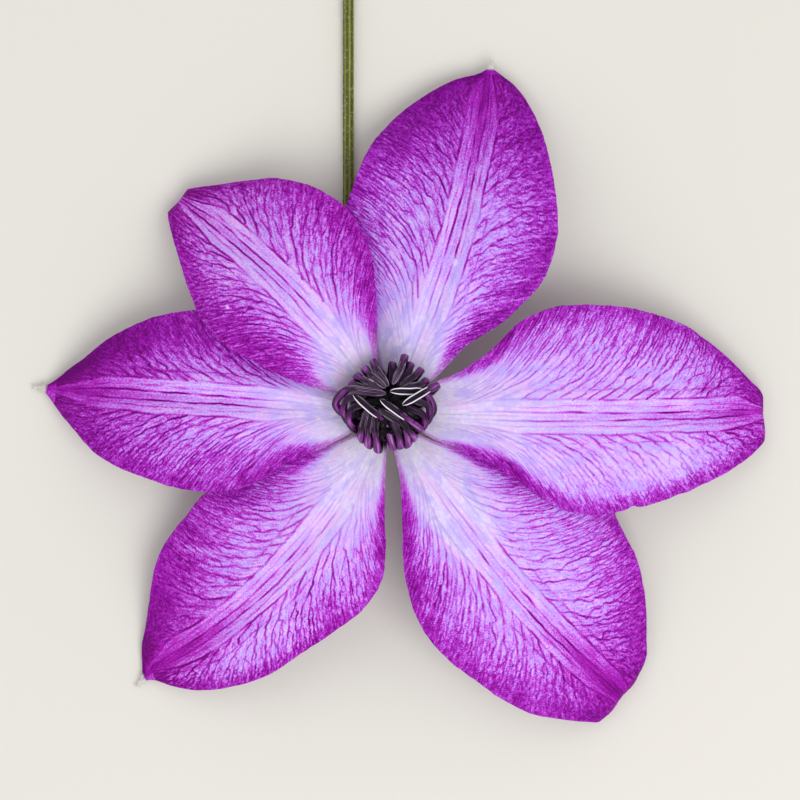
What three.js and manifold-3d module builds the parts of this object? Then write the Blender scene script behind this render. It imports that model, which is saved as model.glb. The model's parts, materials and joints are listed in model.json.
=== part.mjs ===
// A clematis flower of the small viticella kind, cut from the plant and laid face up on a table.
//
// Six pointed tepals spread from the top of a thin stalk and arch down to their recurved tips, which
// carry the flower. Their margins overlap as they opened: the upper-left and right tepals lie on top,
// the left one between, the other three below. In the middle the dark strap-shaped stamens bow out and
// close over a tuft of slender carpels. The stalk bends under the flower and lies along the table.
//
// Millimetres. +Z is up and the table is z = 0. The shapes are laid out round the flower's own axis,
// and the finished group is then moved sideways, so that its origin is on the table under the middle
// of the whole. The stalk runs out along +Y. Bearings are in degrees, counted from +X towards +Y.

import * as THREE from "three";
import Module from "manifold-3d";
import { mergeVertices } from "three/addons/utils/BufferGeometryUtils.js";

const wasm = await Module();
wasm.setup();

// ---- Driving dimensions ------------------------------------------------------------------------

const TEPAL_THICKNESS = 0.7;
const TEPAL_ROOT_REACH = 2.75; // distance of every tepal's root from the flower's axis
const TEPAL_COLUMNS = 12; // facets across a tepal
const COLUMN_CROWDING = 1.15; // over 1, they are finer at the midrib than at the margins
const BLADE_ROWS = 17; // facets along the arched blade
const TIP_ROWS = 6; // facets along the tip, which curls or draws out to a point
const TIP_LEAD = 1.5; // how far before the end of the arch the finer rows begin
const CROWN_RADIUS = 46; // how strongly a blade's margins bend down across its width
const GROOVE_DEPTH = 0.3; // the groove along the midrib
const GROOVE_WIDTH = 1.1;
const RIB_HEIGHT = 0.28; // the two swollen ribs beside the groove
const RIB_WIDTH = 1.2;
const RIB_SPREAD = 2.3; // their distance from the midrib
const FULL_BREADTH = 9; // half width of blade from which groove, ribs and waves are at full size
const TIP_ROUNDING_LEAD = 9; // how far before the end of the arch the rounding of a tip sets in

const STALK_RADIUS = 0.72;
const STALK_SIDES = 12;
const STALK_OFFSET = -5; // x of the straight stretch
const STALK_END = 76; // y of the cut end
const STALK_BEND = 30; // y where it begins to bend towards the flower
const BEND_STEPS = 16;
const NECK_BOTTOM = 7.7; // where it stands upright and swells towards the flower
const NECK_RADIUS = 1.05;
const RIM_RADIUS = 2.35; // the swollen top of the stalk, where the tepals are rooted
const RIM_TOP = 10.8;
const RIM_BOTTOM = 9.1;

const STAMEN_WIDTH = 0.95;
const STAMEN_THICKNESS = 0.6;
const STAMEN_STEPS = 9;
const COLLAR_INNER = 2.0; // the crowded stamen roots, grown together in a ring
const COLLAR_OUTER = 3.15;
const COLLAR_BOTTOM = 11.15;
const COLLAR_TOP = 12.2;

const CARPEL_COUNT = 14;
const CARPEL_FOOT = 11.9; // underside of the carpels' common base
const CARPEL_TOP = 15.6;

// ---- Curves ------------------------------------------------------------------------------------

const radians = (degrees) => (degrees * Math.PI) / 180;

// 0 up to 0, 1 from 1 on and a smooth rise between them.
function smoothRise(x) {
  const s = Math.min(Math.max(x, 0), 1);
  return s * s * (3 - 2 * s);
}

// A smooth value along a table of [position, value, ...] rows, which never overshoots its rows.
function along(rows, position, column) {
  const last = rows.length - 1;
  const x = Math.min(Math.max(position, rows[0][0]), rows[last][0]);
  let i = 0;
  while (i < last - 1 && x > rows[i + 1][0]) i += 1;
  const rise = (k) =>
    (rows[k + 1][column] - rows[k][column]) / (rows[k + 1][0] - rows[k][0]);
  const slope = (k) => {
    if (k === 0) return rise(0);
    if (k === last) return rise(last - 1);
    const before = rise(k - 1);
    const after = rise(k);
    return before * after <= 0 ? 0 : (2 * before * after) / (before + after);
  };
  const span = rows[i + 1][0] - rows[i][0];
  const s = (x - rows[i][0]) / span;
  return (
    rows[i][column] * (1 + 2 * s) * (1 - s) ** 2 +
    rows[i + 1][column] * s * s * (3 - 2 * s) +
    slope(i) * span * s * (1 - s) ** 2 +
    slope(i + 1) * span * s * s * (s - 1)
  );
}

// ---- Lofted solids -----------------------------------------------------------------------------

// A closed solid through rings of points. Each ring runs along its upper side, then back along its
// lower side, so point j lies over point n - 1 - j, and both sides are split into triangles alike.
function loft(rings) {
  const n = rings[0].length;
  const positions = [];
  for (const ring of rings) {
    for (const p of ring) positions.push(p.x, p.y, p.z);
  }
  const faces = [];
  for (let i = 0; i < rings.length - 1; i += 1) {
    for (let j = 0; j < n; j += 1) {
      const a = i * n + j;
      const b = i * n + ((j + 1) % n);
      const c = a + n;
      const d = b + n;
      if (j >= n / 2) faces.push(a, c, b, b, c, d);
      else faces.push(a, c, d, a, d, b);
    }
  }
  const end = (rings.length - 1) * n;
  for (let j = 0; j < n / 2 - 1; j += 1) {
    const k = n - 1 - j;
    faces.push(j, j + 1, k, j + 1, k - 1, k);
    faces.push(end + j, end + k, end + j + 1, end + j + 1, end + k, end + k - 1);
  }
  const geometry = new THREE.BufferGeometry();
  geometry.setAttribute("position", new THREE.Float32BufferAttribute(positions, 3));
  geometry.setIndex(faces);
  return geometry;
}

// Directions across a path, carried along it without twisting, or turned level little by little where
// levelling(i) is over 0. The first is given.
function carriedSides(points, firstSide, levelling = () => 0) {
  const sides = [];
  let side = firstSide.clone();
  points.forEach((point, i) => {
    const before = points[Math.max(i - 1, 0)];
    const after = points[Math.min(i + 1, points.length - 1)];
    const tangent = after.clone().sub(before).normalize();
    side = side.clone().addScaledVector(tangent, -side.dot(tangent)).normalize();
    const level = new THREE.Vector3(-tangent.y, tangent.x, 0);
    if (level.dot(side) < 0) level.negate();
    side = side.clone().lerp(level, levelling(i)).normalize();
    side = side.addScaledVector(tangent, -side.dot(tangent)).normalize();
    sides.push({ side, up: tangent.clone().cross(side), tangent });
  });
  return sides;
}

// An oval or flat section swept along a path. size(i) gives its half width and half thickness.
function sweep(points, firstSide, corners, size, levelling) {
  return loft(
    carriedSides(points, firstSide, levelling).map(({ side, up }, i) => {
      const [halfWidth, halfThickness] = size(i);
      return corners.map(([x, y]) =>
        points[i]
          .clone()
          .addScaledVector(side, x * halfWidth)
          .addScaledVector(up, y * halfThickness),
      );
    }),
  );
}

// Corners of a round section, begun so that one flat side faces straight down and up.
function roundCorners(count) {
  const corners = [];
  for (let k = 0; k < count; k += 1) {
    const angle = Math.PI - ((k + 0.5) * 2 * Math.PI) / count;
    corners.push([Math.cos(angle), Math.sin(angle)]);
  }
  return corners;
}

const FLAT_CORNERS = [
  [-1, 1],
  [1, 1],
  [1, -1],
  [-1, -1],
];

// ---- Joining -----------------------------------------------------------------------------------

function solidOf(geometry) {
  const bare = geometry.clone();
  bare.deleteAttribute("normal");
  bare.deleteAttribute("uv");
  const merged = mergeVertices(bare, 1e-4);
  return new wasm.Manifold(
    new wasm.Mesh({
      numProp: 3,
      vertProperties: merged.attributes.position.array,
      triVerts: new Uint32Array(merged.index.array),
    }),
  );
}

// All of them as one solid. A hollow that joining seals is filled.
function joined(geometries) {
  const whole = geometries.map(solidOf).reduce((a, b) => a.add(b));
  const filled = whole
    .decompose()
    .filter((shell) => shell.volume() > 0)
    .reduce((a, b) => a.add(b));
  const mesh = filled.getMesh();
  const geometry = new THREE.BufferGeometry();
  geometry.setAttribute("position", new THREE.BufferAttribute(mesh.vertProperties, 3));
  geometry.setIndex(new THREE.BufferAttribute(mesh.triVerts, 1));
  return geometry;
}

// ---- Tepals ------------------------------------------------------------------------------------

// The midrib sweeps from rootBearing to tipBearing. It rises from root to crest at crestReach, then
// falls on a parabola to the height fall at bladeEnd, where the tip turns down by tipTurn degrees on
// a curve of tipRadius, or up if that is negative. tipRounding draws the tip's left and right corners
// back in, or out if that is negative. A roll in degrees lifts the left margin.
// An outline row is a distance along the midrib and the half widths to its left and its right.
const TEPALS = [
  {
    name: "tepal_top",
    rootBearing: 63.6,
    tipBearing: 73.4,
    root: 9.6,
    crest: 11.6,
    crestReach: 17,
    fall: 2.5,
    bladeEnd: 43.2,
    tipTurn: -25,
    tipRadius: 3,
    tipRounding: [0, 0],
    roll: -3.5,
    waves: { height: 0.5, length: 15, phase: 0.4 },
    outline: [
      [TEPAL_ROOT_REACH, 1.2, 1.2],
      [6, 4.2, 3.4],
      [11, 7.8, 5.5],
      [16, 11, 9.2],
      [21, 13.9, 11.7],
      [26, 14, 12.1],
      [31, 13.4, 10.8],
      [36, 11.7, 8.6],
      [40, 8.7, 6.4],
      [43, 4.3, 3.7],
      [44.4, 1.3, 1.6],
      [45.2, 0.4, 0.4],
      [46.1, 0.3, 0.3],
    ],
  },
  {
    name: "tepal_right",
    rootBearing: -3,
    tipBearing: 0,
    root: 9.8,
    crest: 12.2,
    crestReach: 18,
    fall: 2.7,
    bladeEnd: 46.3,
    tipTurn: 118,
    tipRadius: 1.7,
    tipRounding: [0.03, -0.01],
    roll: 1.5,
    waves: { height: 0.45, length: 17, phase: 2.2 },
    outline: [
      [TEPAL_ROOT_REACH, 1.2, 1.2],
      [5.7, 3.8, 3],
      [9, 5.5, 4.1],
      [12.5, 8.1, 5.6],
      [15.7, 11.4, 7.6],
      [20, 13.4, 10.6],
      [25, 13.8, 12],
      [30, 13.4, 11.6],
      [35, 12.3, 10.2],
      [40, 10.2, 8.3],
      [44, 7.1, 6.2],
      [46.4, 3.4, 4.4],
      [48, 1.5, 3.2],
      [49, 0.6, 1.8],
      [50, 0.3, 0.3],
    ],
  },
  {
    name: "tepal_lower_right",
    rootBearing: 300.5,
    tipBearing: 309.2,
    root: 9.5,
    crest: 11.3,
    crestReach: 17,
    fall: 2.6,
    bladeEnd: 45.5,
    tipTurn: 118,
    tipRadius: 1.7,
    tipRounding: [0, 0.005],
    roll: -3.5,
    waves: { height: 0.45, length: 16, phase: 5 },
    outline: [
      [TEPAL_ROOT_REACH, 1.2, 1.2],
      [5, 2.2, 2],
      [8.2, 4.6, 3.3],
      [11.2, 6.8, 5.3],
      [15, 9.2, 8],
      [18.2, 11.2, 9.8],
      [22.6, 14.2, 11.7],
      [28, 15.6, 12],
      [32, 14.7, 11.2],
      [36, 13.6, 10.4],
      [39.7, 11.5, 9.2],
      [42.5, 9.2, 7.3],
      [45, 6.5, 5.4],
      [46.8, 4.7, 4],
      [47.8, 3.4, 3.2],
      [48.6, 1.7, 1.6],
      [49.3, 0.3, 0.3],
    ],
  },
  {
    name: "tepal_lower_left",
    rootBearing: 247,
    tipBearing: 227.6,
    root: 9.3,
    crest: 10.8,
    crestReach: 17,
    fall: 1.2,
    bladeEnd: 43.6,
    tipTurn: -24,
    tipRadius: 6,
    tipRounding: [0, 0],
    roll: 2.5,
    waves: { height: 0.6, length: 13, phase: 3.3 },
    outline: [
      [TEPAL_ROOT_REACH, 1.2, 1.2],
      [4.2, 1.8, 2.3],
      [7.6, 3.5, 4.9],
      [10.5, 5.3, 7.2],
      [14, 8, 9.9],
      [17.3, 10.1, 11.7],
      [20.5, 10.6, 12.9],
      [24.3, 9.8, 13.6],
      [29, 9, 13.3],
      [33.2, 8.4, 12.6],
      [36.5, 7.3, 11.1],
      [39.2, 6, 8.5],
      [42, 3.8, 5.3],
      [44.2, 1.5, 2.6],
      [45.8, 0.4, 0.5],
      [47.2, 0.3, 0.3],
    ],
  },
  {
    name: "tepal_left",
    rootBearing: 176,
    tipBearing: 176.1,
    root: 9.3,
    crest: 11.7,
    crestReach: 17,
    fall: 2.2,
    bladeEnd: 40.6,
    tipTurn: -22,
    tipRadius: 8,
    tipRounding: [0, 0],
    roll: 5,
    waves: { height: 0.4, length: 18, phase: 1.1 },
    outline: [
      [TEPAL_ROOT_REACH, 1.2, 1.2],
      [4.2, 2.5, 1.8],
      [8.2, 5.1, 4.6],
      [13, 7.7, 7.6],
      [16, 10.1, 9.4],
      [20.3, 11.2, 10.7],
      [24.6, 11.2, 11],
      [29, 10.3, 10.3],
      [33, 9, 8.7],
      [36, 7.4, 6.7],
      [39.3, 4.5, 3.5],
      [42, 2, 1.4],
      [43.7, 0.5, 0.4],
      [45.4, 0.3, 0.3],
    ],
  },
  {
    name: "tepal_upper_left",
    rootBearing: 123.5,
    tipBearing: 134.1,
    root: 10.25,
    crest: 14.2,
    crestReach: 15,
    fall: 3.1,
    bladeEnd: 36.7,
    tipTurn: 105,
    tipRadius: 1.9,
    tipRounding: [-0.02, 0.02],
    roll: 2,
    waves: { height: 0.4, length: 15, phase: 4.2 },
    outline: [
      [TEPAL_ROOT_REACH, 1.2, 1.2],
      [5.4, 3.6, 2.2],
      [9.6, 6.6, 5.6],
      [12.3, 7.8, 7.8],
      [15.1, 8.8, 9.9],
      [18.8, 10, 11.5],
      [22.3, 10.3, 12.1],
      [25.7, 9.9, 11.6],
      [28.8, 8.5, 10],
      [31.4, 6.9, 8.6],
      [33.3, 5.5, 6.5],
      [35.5, 3.9, 3.5],
      [37.2, 2.6, 1.7],
      [39, 2.1, 1.3],
      [40.2, 1.2, 0.7],
      [41.7, 0.3, 0.3],
    ],
  },
];

// The midrib at a distance q along it: how far out it is, how high, and how steeply it falls.
function midrib(tepal, q) {
  const { root, crest, crestReach, fall, bladeEnd, tipRadius } = tepal;
  if (q <= crestReach) {
    const s = (q - TEPAL_ROOT_REACH) / (crestReach - TEPAL_ROOT_REACH);
    const swing = Math.PI / 2;
    const slope = ((crest - root) * swing * Math.cos(swing * s)) / (crestReach - TEPAL_ROOT_REACH);
    return { reach: q, height: root + (crest - root) * Math.sin(swing * s), fall: -Math.atan(slope) };
  }
  const s = (Math.min(q, bladeEnd) - crestReach) / (bladeEnd - crestReach);
  const edge = {
    reach: Math.min(q, bladeEnd),
    height: crest - (crest - fall) * s * s,
    fall: Math.atan((2 * s * (crest - fall)) / (bladeEnd - crestReach)),
  };
  if (q <= bladeEnd) return edge;
  const turn = Math.sign(tepal.tipTurn);
  const bend = Math.min((q - bladeEnd) / tipRadius, radians(Math.abs(tepal.tipTurn))) * turn;
  const straight = Math.max(q - bladeEnd - tipRadius * radians(Math.abs(tepal.tipTurn)), 0);
  const angle = edge.fall + bend;
  const radius = tipRadius * turn;
  return {
    reach: edge.reach + radius * (Math.sin(angle) - Math.sin(edge.fall)) + straight * Math.cos(angle),
    height: edge.height - radius * (Math.cos(edge.fall) - Math.cos(angle)) - straight * Math.sin(angle),
    fall: angle,
  };
}

// A point of the blade's middle surface. u runs from the right margin at -1 to the left one at 1.
function bladePoint(tepal, q, u) {
  const { reach, height, fall } = midrib(tepal, q);
  const end = midrib(tepal, tepal.bladeEnd).reach;
  const turned = (tepal.tipBearing - tepal.rootBearing) / end;
  const bearing = radians(tepal.rootBearing + turned * Math.min(reach, end));
  const radial = new THREE.Vector3(Math.cos(bearing), Math.sin(bearing), 0);
  const lateral = new THREE.Vector3(-Math.sin(bearing), Math.cos(bearing), 0);
  const outward = radial.clone().addScaledVector(lateral, reach * radians(turned)).normalize();
  const side = new THREE.Vector3(-outward.y, outward.x, 0);
  const normal = outward.clone().multiplyScalar(Math.sin(fall));
  normal.z = Math.cos(fall);

  const halfWidth = along(tepal.outline, q, u > 0 ? 1 : 2);
  const b = u * halfWidth;
  const folded = smoothRise((q - tepal.bladeEnd) / TIP_ROUNDING_LEAD + 1);
  const drawnBack = tepal.tipRounding[u > 0 ? 0 : 1] * b * b * folded;
  const broad = Math.min(halfWidth / FULL_BREADTH, 1);
  const groove = -GROOVE_DEPTH * Math.exp(-((b / GROOVE_WIDTH) ** 2));
  const ribs = RIB_HEIGHT * Math.exp(-(((Math.abs(b) - RIB_SPREAD) / RIB_WIDTH) ** 2));
  const { height: waveHeight, length, phase } = tepal.waves;
  const wave = waveHeight * Math.sin((2 * Math.PI * q) / length + phase + u) * Math.abs(u) ** 3;
  const lift =
    -(b * b) / (2 * CROWN_RADIUS) +
    b * Math.tan(radians(tepal.roll)) +
    broad * (groove + ribs + wave);
  return radial
    .multiplyScalar(reach - drawnBack)
    .addScaledVector(side, b)
    .addScaledVector(normal, lift)
    .add(new THREE.Vector3(0, 0, height));
}

function bladeNormal(tepal, q, u) {
  const step = 0.05; // far enough to measure a slope, near enough to follow the curl
  const alongBlade = bladePoint(tepal, q + step, u).sub(bladePoint(tepal, q - step, u));
  const du = Math.min(step, 1 - Math.abs(u) + step / 2);
  const acrossBlade = bladePoint(tepal, q, u + du).sub(bladePoint(tepal, q, u - du));
  return alongBlade.cross(acrossBlade).normalize();
}

// The blade with its thickness. What would reach below the table is pressed flat against it.
function tepalGeometry(tepal) {
  const first = tepal.outline[0][0];
  const last = tepal.outline[tepal.outline.length - 1][0];
  const tipStart = tepal.bladeEnd - TIP_LEAD;
  const stations = [];
  for (let i = 0; i < BLADE_ROWS; i += 1) {
    stations.push(first + ((tipStart - first) * i) / BLADE_ROWS);
  }
  for (let i = 0; i <= TIP_ROWS; i += 1) {
    stations.push(tipStart + ((last - tipStart) * i) / TIP_ROWS);
  }
  const rings = stations.map((q) => {
    const upper = [];
    const lower = [];
    for (let j = 0; j <= TEPAL_COLUMNS; j += 1) {
      const v = (2 * j) / TEPAL_COLUMNS - 1;
      const u = Math.sign(v) * Math.abs(v) ** COLUMN_CROWDING;
      const middle = bladePoint(tepal, q, u);
      const normal = bladeNormal(tepal, q, u).multiplyScalar(TEPAL_THICKNESS / 2);
      const top = middle.clone().add(normal);
      const bottom = middle.sub(normal);
      top.z = Math.max(top.z, TEPAL_THICKNESS);
      bottom.z = Math.max(bottom.z, 0);
      upper.push(top);
      lower.unshift(bottom);
    }
    return [...upper, ...lower];
  });
  return loft(rings);
}

// ---- Stalk -------------------------------------------------------------------------------------

// From the cut end along the table, up to the flower and through the swollen top the tepals sit on.
// The straight stretch lies on one of its flat sides.
function stalkGeometry() {
  const lying = STALK_RADIUS * Math.cos(Math.PI / STALK_SIDES);
  const bend = new THREE.CatmullRomCurve3(
    [
      [STALK_OFFSET, STALK_BEND, lying],
      [STALK_OFFSET, 22, lying],
      [-4.4, 14.5, 0.85],
      [-3, 8.6, 1.5],
      [-1.4, 4.2, 3.2],
      [-0.35, 1.3, 5.4],
      [0, 0, NECK_BOTTOM],
    ].map((p) => new THREE.Vector3(...p)),
    false,
    "centripetal",
  );
  const stations = [[new THREE.Vector3(STALK_OFFSET, STALK_END, lying), STALK_RADIUS]];
  for (let i = 0; i < BEND_STEPS; i += 1) {
    const p = bend.getPoint(i / BEND_STEPS);
    p.z = Math.max(p.z, lying);
    const swelling = (NECK_RADIUS - STALK_RADIUS) * (p.z / NECK_BOTTOM) ** 3;
    stations.push([p, STALK_RADIUS + (p.z > lying ? swelling : 0)]);
  }
  for (const [z, radius] of [
    [NECK_BOTTOM, NECK_RADIUS],
    [8.4, 1.5],
    [RIM_BOTTOM, RIM_RADIUS - 0.2],
    [RIM_BOTTOM + 0.4, RIM_RADIUS],
    [RIM_TOP - 0.1, RIM_RADIUS],
    [RIM_TOP, COLLAR_INNER - 0.35],
    [CARPEL_FOOT - 0.35, COLLAR_INNER - 0.5],
  ]) {
    stations.push([new THREE.Vector3(0, 0, z), radius]);
  }
  return sweep(
    stations.map(([point]) => point),
    new THREE.Vector3(-1, 0, 0),
    roundCorners(STALK_SIDES),
    (i) => [stations[i][1], stations[i][1]],
  );
}

// ---- Stamens -----------------------------------------------------------------------------------

// Where each stamen rises from the ring (x, y), where it bows out furthest, where it has turned over,
// where its tip lies and how high the tip is. They close over the middle from all sides.
const STAMENS = [
  { foot: [0.5, -3.3], bow: [0.7, -4.4], over: [-0.5, -1.1], tip: [-4.2, 2.2], height: 18.3 },
  { foot: [3.2, -2.2], bow: [4.1, -2.2], over: [2.9, -1.2], tip: [-0.9, 1.6], height: 18.5 },
  { foot: [1.9, -3.1], bow: [2.5, -4.1], over: [2, -1.6], tip: [-1.1, 0.4], height: 17.6 },
  { foot: [4.5, -0.9], bow: [5.6, 0.4], over: [4.3, 2.5], tip: [0.3, 2.6], height: 17.9 },
  { foot: [4.7, 2.1], bow: [6.1, 3.3], over: [5.2, 2.9], tip: [1.8, 0.9], height: 18.6 },
  { foot: [-4.6, -0.6], bow: [-6.4, 1], over: [-4.9, 2.8], tip: [-0.2, 2.3], height: 18.1 },
  { foot: [1.6, 5], bow: [2.1, 6.9], over: [1.6, 5.4], tip: [0.6, 3.4], height: 17.8 },
  { foot: [0.4, 4.4], bow: [0.6, 6], over: [0.7, 4.9], tip: [0.7, 3.4], height: 17 },
  { foot: [2.1, 4.6], bow: [2.9, 5.9], over: [2.3, 4.6], tip: [1.2, 3.2], height: 17.1 },
  { foot: [3.1, 4], bow: [4.1, 5.2], over: [3.2, 4.4], tip: [1.5, 3.2], height: 17.5 },
  { foot: [3.7, 3], bow: [4.8, 3.9], over: [4, 3.4], tip: [1.6, 2.9], height: 17 },
  { foot: [-1.1, 4.6], bow: [-1.8, 6.3], over: [-1.2, 5], tip: [0.1, 3.2], height: 17.7 },
  { foot: [-1.9, 4], bow: [-2.9, 5.4], over: [-2, 4.5], tip: [-0.2, 3], height: 17.9 },
  { foot: [-2.6, 3.4], bow: [-3.9, 4.5], over: [-2.8, 3.9], tip: [-0.6, 2.8], height: 17.5 },
  { foot: [-3.1, 2.6], bow: [-4.5, 3.6], over: [-3.6, 3.2], tip: [-1.4, 2.4], height: 17.1 },
  { foot: [-4.2, -1.6], bow: [-5.4, 0], over: [-4.9, 1.7], tip: [-2.6, 2], height: 16.8 },
  { foot: [-3.4, -2.4], bow: [-4.7, -1.2], over: [-4.3, 0.5], tip: [-2.2, 1.3], height: 16.6 },
  { foot: [-2.5, -2.7], bow: [-3.3, -3.4], over: [-3.1, -1.8], tip: [-2.5, 0.5], height: 17.2 },
  { foot: [-1.9, -3.2], bow: [-2.4, -4.2], over: [-2.4, -2.2], tip: [-2, 0.4], height: 17 },
  { foot: [-1, -3.6], bow: [-1.2, -4.8], over: [-1.5, -2.6], tip: [-1.6, 0.1], height: 16.9 },
  { foot: [1.3, -3.2], bow: [1.6, -4.3], over: [1.2, -2.4], tip: [0.4, -0.6], height: 17 },
  { foot: [2.6, -2.7], bow: [3.3, -3.3], over: [2.6, -2.2], tip: [1, -0.2], height: 16.9 },
  { foot: [4, -1.6], bow: [5.1, -0.6], over: [4.8, 0.9], tip: [2.7, 1.7], height: 16.9 },
  { foot: [3.6, -2.1], bow: [4.5, -1.5], over: [4.2, -0.2], tip: [2.3, 0.7], height: 16.6 },
];
// Inside them stand two closer rings of shorter ones: how far out they bow, how far in they reach.
const INNER_RINGS = [
  { count: 12, bow: 3.8, tip: 0.9, height: 16.3 },
  { count: 10, bow: 4.2, tip: 2.3, height: 15.7 },
];

function allStamens() {
  const inner = INNER_RINGS.flatMap(({ count, bow, tip, height }) =>
    Array.from({ length: count }, (_, k) => {
      const angle = ((k + 0.5) * 2 * Math.PI) / count;
      const uneven = Math.sin(k * 2.4);
      const at = (reach, bearing, shift) => [
        reach * Math.cos(bearing),
        reach * Math.sin(bearing) + shift,
      ];
      const out = bow + 0.3 * uneven;
      return {
        foot: at(0.82 * out, angle, 0.25),
        bow: at(out, angle, 0.45),
        over: at(0.82 * out, angle, 0.55),
        tip: at(tip, angle + 0.4 * uneven, 0.9),
        height: height + 0.25 * uneven,
      };
    }),
  );
  return [...STAMENS, ...inner];
}

// The line of one stamen: out of the collar, up round its bow, and over to the tip.
function stamenLine({ foot, bow, over, tip, height }) {
  const root = (0.5 * (COLLAR_INNER + COLLAR_OUTER)) / Math.hypot(...foot);
  return new THREE.CatmullRomCurve3(
    [
      [root * foot[0], root * foot[1], COLLAR_TOP - 0.5],
      [...foot, 12.9],
      [...bow, 14.6],
      [...over, 16.2],
      [
        0.55 * over[0] + 0.45 * tip[0],
        0.55 * over[1] + 0.45 * tip[1],
        0.35 * 16.2 + 0.65 * height + 0.15,
      ],
      [...tip, height],
    ].map((p) => new THREE.Vector3(...p)),
    false,
    "centripetal",
  );
}

function stamenGeometry(stamen) {
  const points = stamenLine(stamen).getSpacedPoints(STAMEN_STEPS);
  const firstSide = new THREE.Vector3(-stamen.foot[1], stamen.foot[0], 0).normalize();
  const size = (i) => {
    const s = i / STAMEN_STEPS;
    const width = s > 0.99 ? 0.55 : 1;
    return [(STAMEN_WIDTH / 2) * width, (STAMEN_THICKNESS / 2) * (s > 0.99 ? 0.8 : 1)];
  };
  const levelling = (i) => 0.8 * smoothRise((i / STAMEN_STEPS - 0.2) / 0.2);
  return sweep(points, firstSide, FLAT_CORNERS, size, levelling);
}

function collarGeometry() {
  return new THREE.LatheGeometry(
    [
      [COLLAR_INNER, COLLAR_BOTTOM],
      [COLLAR_OUTER, COLLAR_BOTTOM],
      [COLLAR_OUTER, COLLAR_TOP - 0.3],
      [COLLAR_OUTER - 0.3, COLLAR_TOP],
      [COLLAR_INNER, COLLAR_TOP],
      [COLLAR_INNER, COLLAR_BOTTOM],
    ].map((p) => new THREE.Vector2(...p)),
    24,
  ).rotateX(Math.PI / 2);
}

function stamensGeometry() {
  return joined([collarGeometry(), ...allStamens().map(stamenGeometry)]);
}

// ---- Carpels -----------------------------------------------------------------------------------

// Slender pointed carpels on a low common base, set in a golden-angle spiral.
function carpelsGeometry() {
  const core = new THREE.LatheGeometry(
    [
      [0, CARPEL_FOOT],
      [1.45, CARPEL_FOOT],
      [1.5, CARPEL_FOOT + 0.8],
      [1.0, CARPEL_FOOT + 1.5],
      [0, CARPEL_FOOT + 1.7],
    ].map((p) => new THREE.Vector2(...p)),
    12,
  ).rotateX(Math.PI / 2);
  const goldenAngle = Math.PI * (3 - Math.sqrt(5));
  const carpels = [];
  for (let k = 0; k < CARPEL_COUNT; k += 1) {
    const out = Math.sqrt((k + 0.5) / CARPEL_COUNT);
    const angle = k * goldenAngle;
    const dir = new THREE.Vector3(Math.cos(angle), Math.sin(angle), 0);
    const foot = dir.clone().multiplyScalar(1.05 * out).setZ(CARPEL_FOOT + 0.5);
    const waist = dir.clone().multiplyScalar(1.35 * out).setZ(CARPEL_FOOT + 2.2);
    const top = dir.clone().multiplyScalar(1.1 * out).setZ(CARPEL_TOP - 0.7 * out);
    const radii = [0.42, 0.38, 0.22];
    carpels.push(
      sweep([foot, waist, top], new THREE.Vector3(-dir.y, dir.x, 0), roundCorners(6), (i) => [
        radii[i],
        radii[i],
      ]),
    );
  }
  return joined([core, ...carpels]);
}

// ---- Assembly ----------------------------------------------------------------------------------

const tepalMaterial = new THREE.MeshStandardMaterial({ color: 0x9a35b8, roughness: 0.6, metalness: 0 });
const stalkMaterial = new THREE.MeshStandardMaterial({ color: 0x6f7a1e, roughness: 0.65, metalness: 0 });
const stamenMaterial = new THREE.MeshStandardMaterial({ color: 0x3a1040, roughness: 0.4, metalness: 0 });
const carpelMaterial = new THREE.MeshStandardMaterial({ color: 0x8d8a5a, roughness: 0.7, metalness: 0 });

function named(name, geometry, material) {
  const mesh = new THREE.Mesh(geometry, material);
  mesh.name = name;
  return mesh;
}

const flower = new THREE.Group();
for (const tepal of TEPALS) flower.add(named(tepal.name, tepalGeometry(tepal), tepalMaterial));
flower.add(named("flower_stalk", stalkGeometry(), stalkMaterial));
flower.add(named("stamens", stamensGeometry(), stamenMaterial));
flower.add(named("carpels", carpelsGeometry(), carpelMaterial));

const extent = new THREE.Box3().setFromObject(flower);
const middle = extent.getCenter(new THREE.Vector3());
flower.position.set(-middle.x, -middle.y, 0);

export default flower;
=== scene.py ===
# A clematis flower of the small viticella kind, cut from the plant and laid face up on a table.
#
# Six veined violet tepals spread from the top of a thin stalk and arch down to their tips. Dark
# strap-shaped stamens close over a tuft of silky carpels in the middle. Sizes below are in
# millimetres, laid out round the flower's own axis, and bearings are in degrees from +X towards +Y.

import itertools
import json
import math

import bpy
import numpy as np
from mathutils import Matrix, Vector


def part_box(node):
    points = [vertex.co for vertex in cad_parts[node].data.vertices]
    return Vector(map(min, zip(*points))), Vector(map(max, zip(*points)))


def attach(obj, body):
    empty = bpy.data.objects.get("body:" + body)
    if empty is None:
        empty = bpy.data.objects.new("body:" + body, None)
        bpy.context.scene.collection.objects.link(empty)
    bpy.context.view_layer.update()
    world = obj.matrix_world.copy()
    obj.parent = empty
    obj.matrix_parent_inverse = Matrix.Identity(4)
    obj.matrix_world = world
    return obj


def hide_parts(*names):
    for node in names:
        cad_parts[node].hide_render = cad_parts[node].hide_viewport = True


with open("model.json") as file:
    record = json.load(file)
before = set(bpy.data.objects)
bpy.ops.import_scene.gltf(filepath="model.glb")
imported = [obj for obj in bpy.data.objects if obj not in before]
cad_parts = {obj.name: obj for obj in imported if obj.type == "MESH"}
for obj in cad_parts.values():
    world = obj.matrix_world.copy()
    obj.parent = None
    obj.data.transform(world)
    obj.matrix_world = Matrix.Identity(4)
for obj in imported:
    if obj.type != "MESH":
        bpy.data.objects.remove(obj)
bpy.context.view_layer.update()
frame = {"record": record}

# ---- Stalk -------------------------------------------------------------------------------------
# The flower's own stalk: one green stem with fine ridges along it and a sparse down of pale hairs.
# It lies along the table from its cut end, bends up under the flower and swells into the disc that
# all the other pieces grow from.

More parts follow.
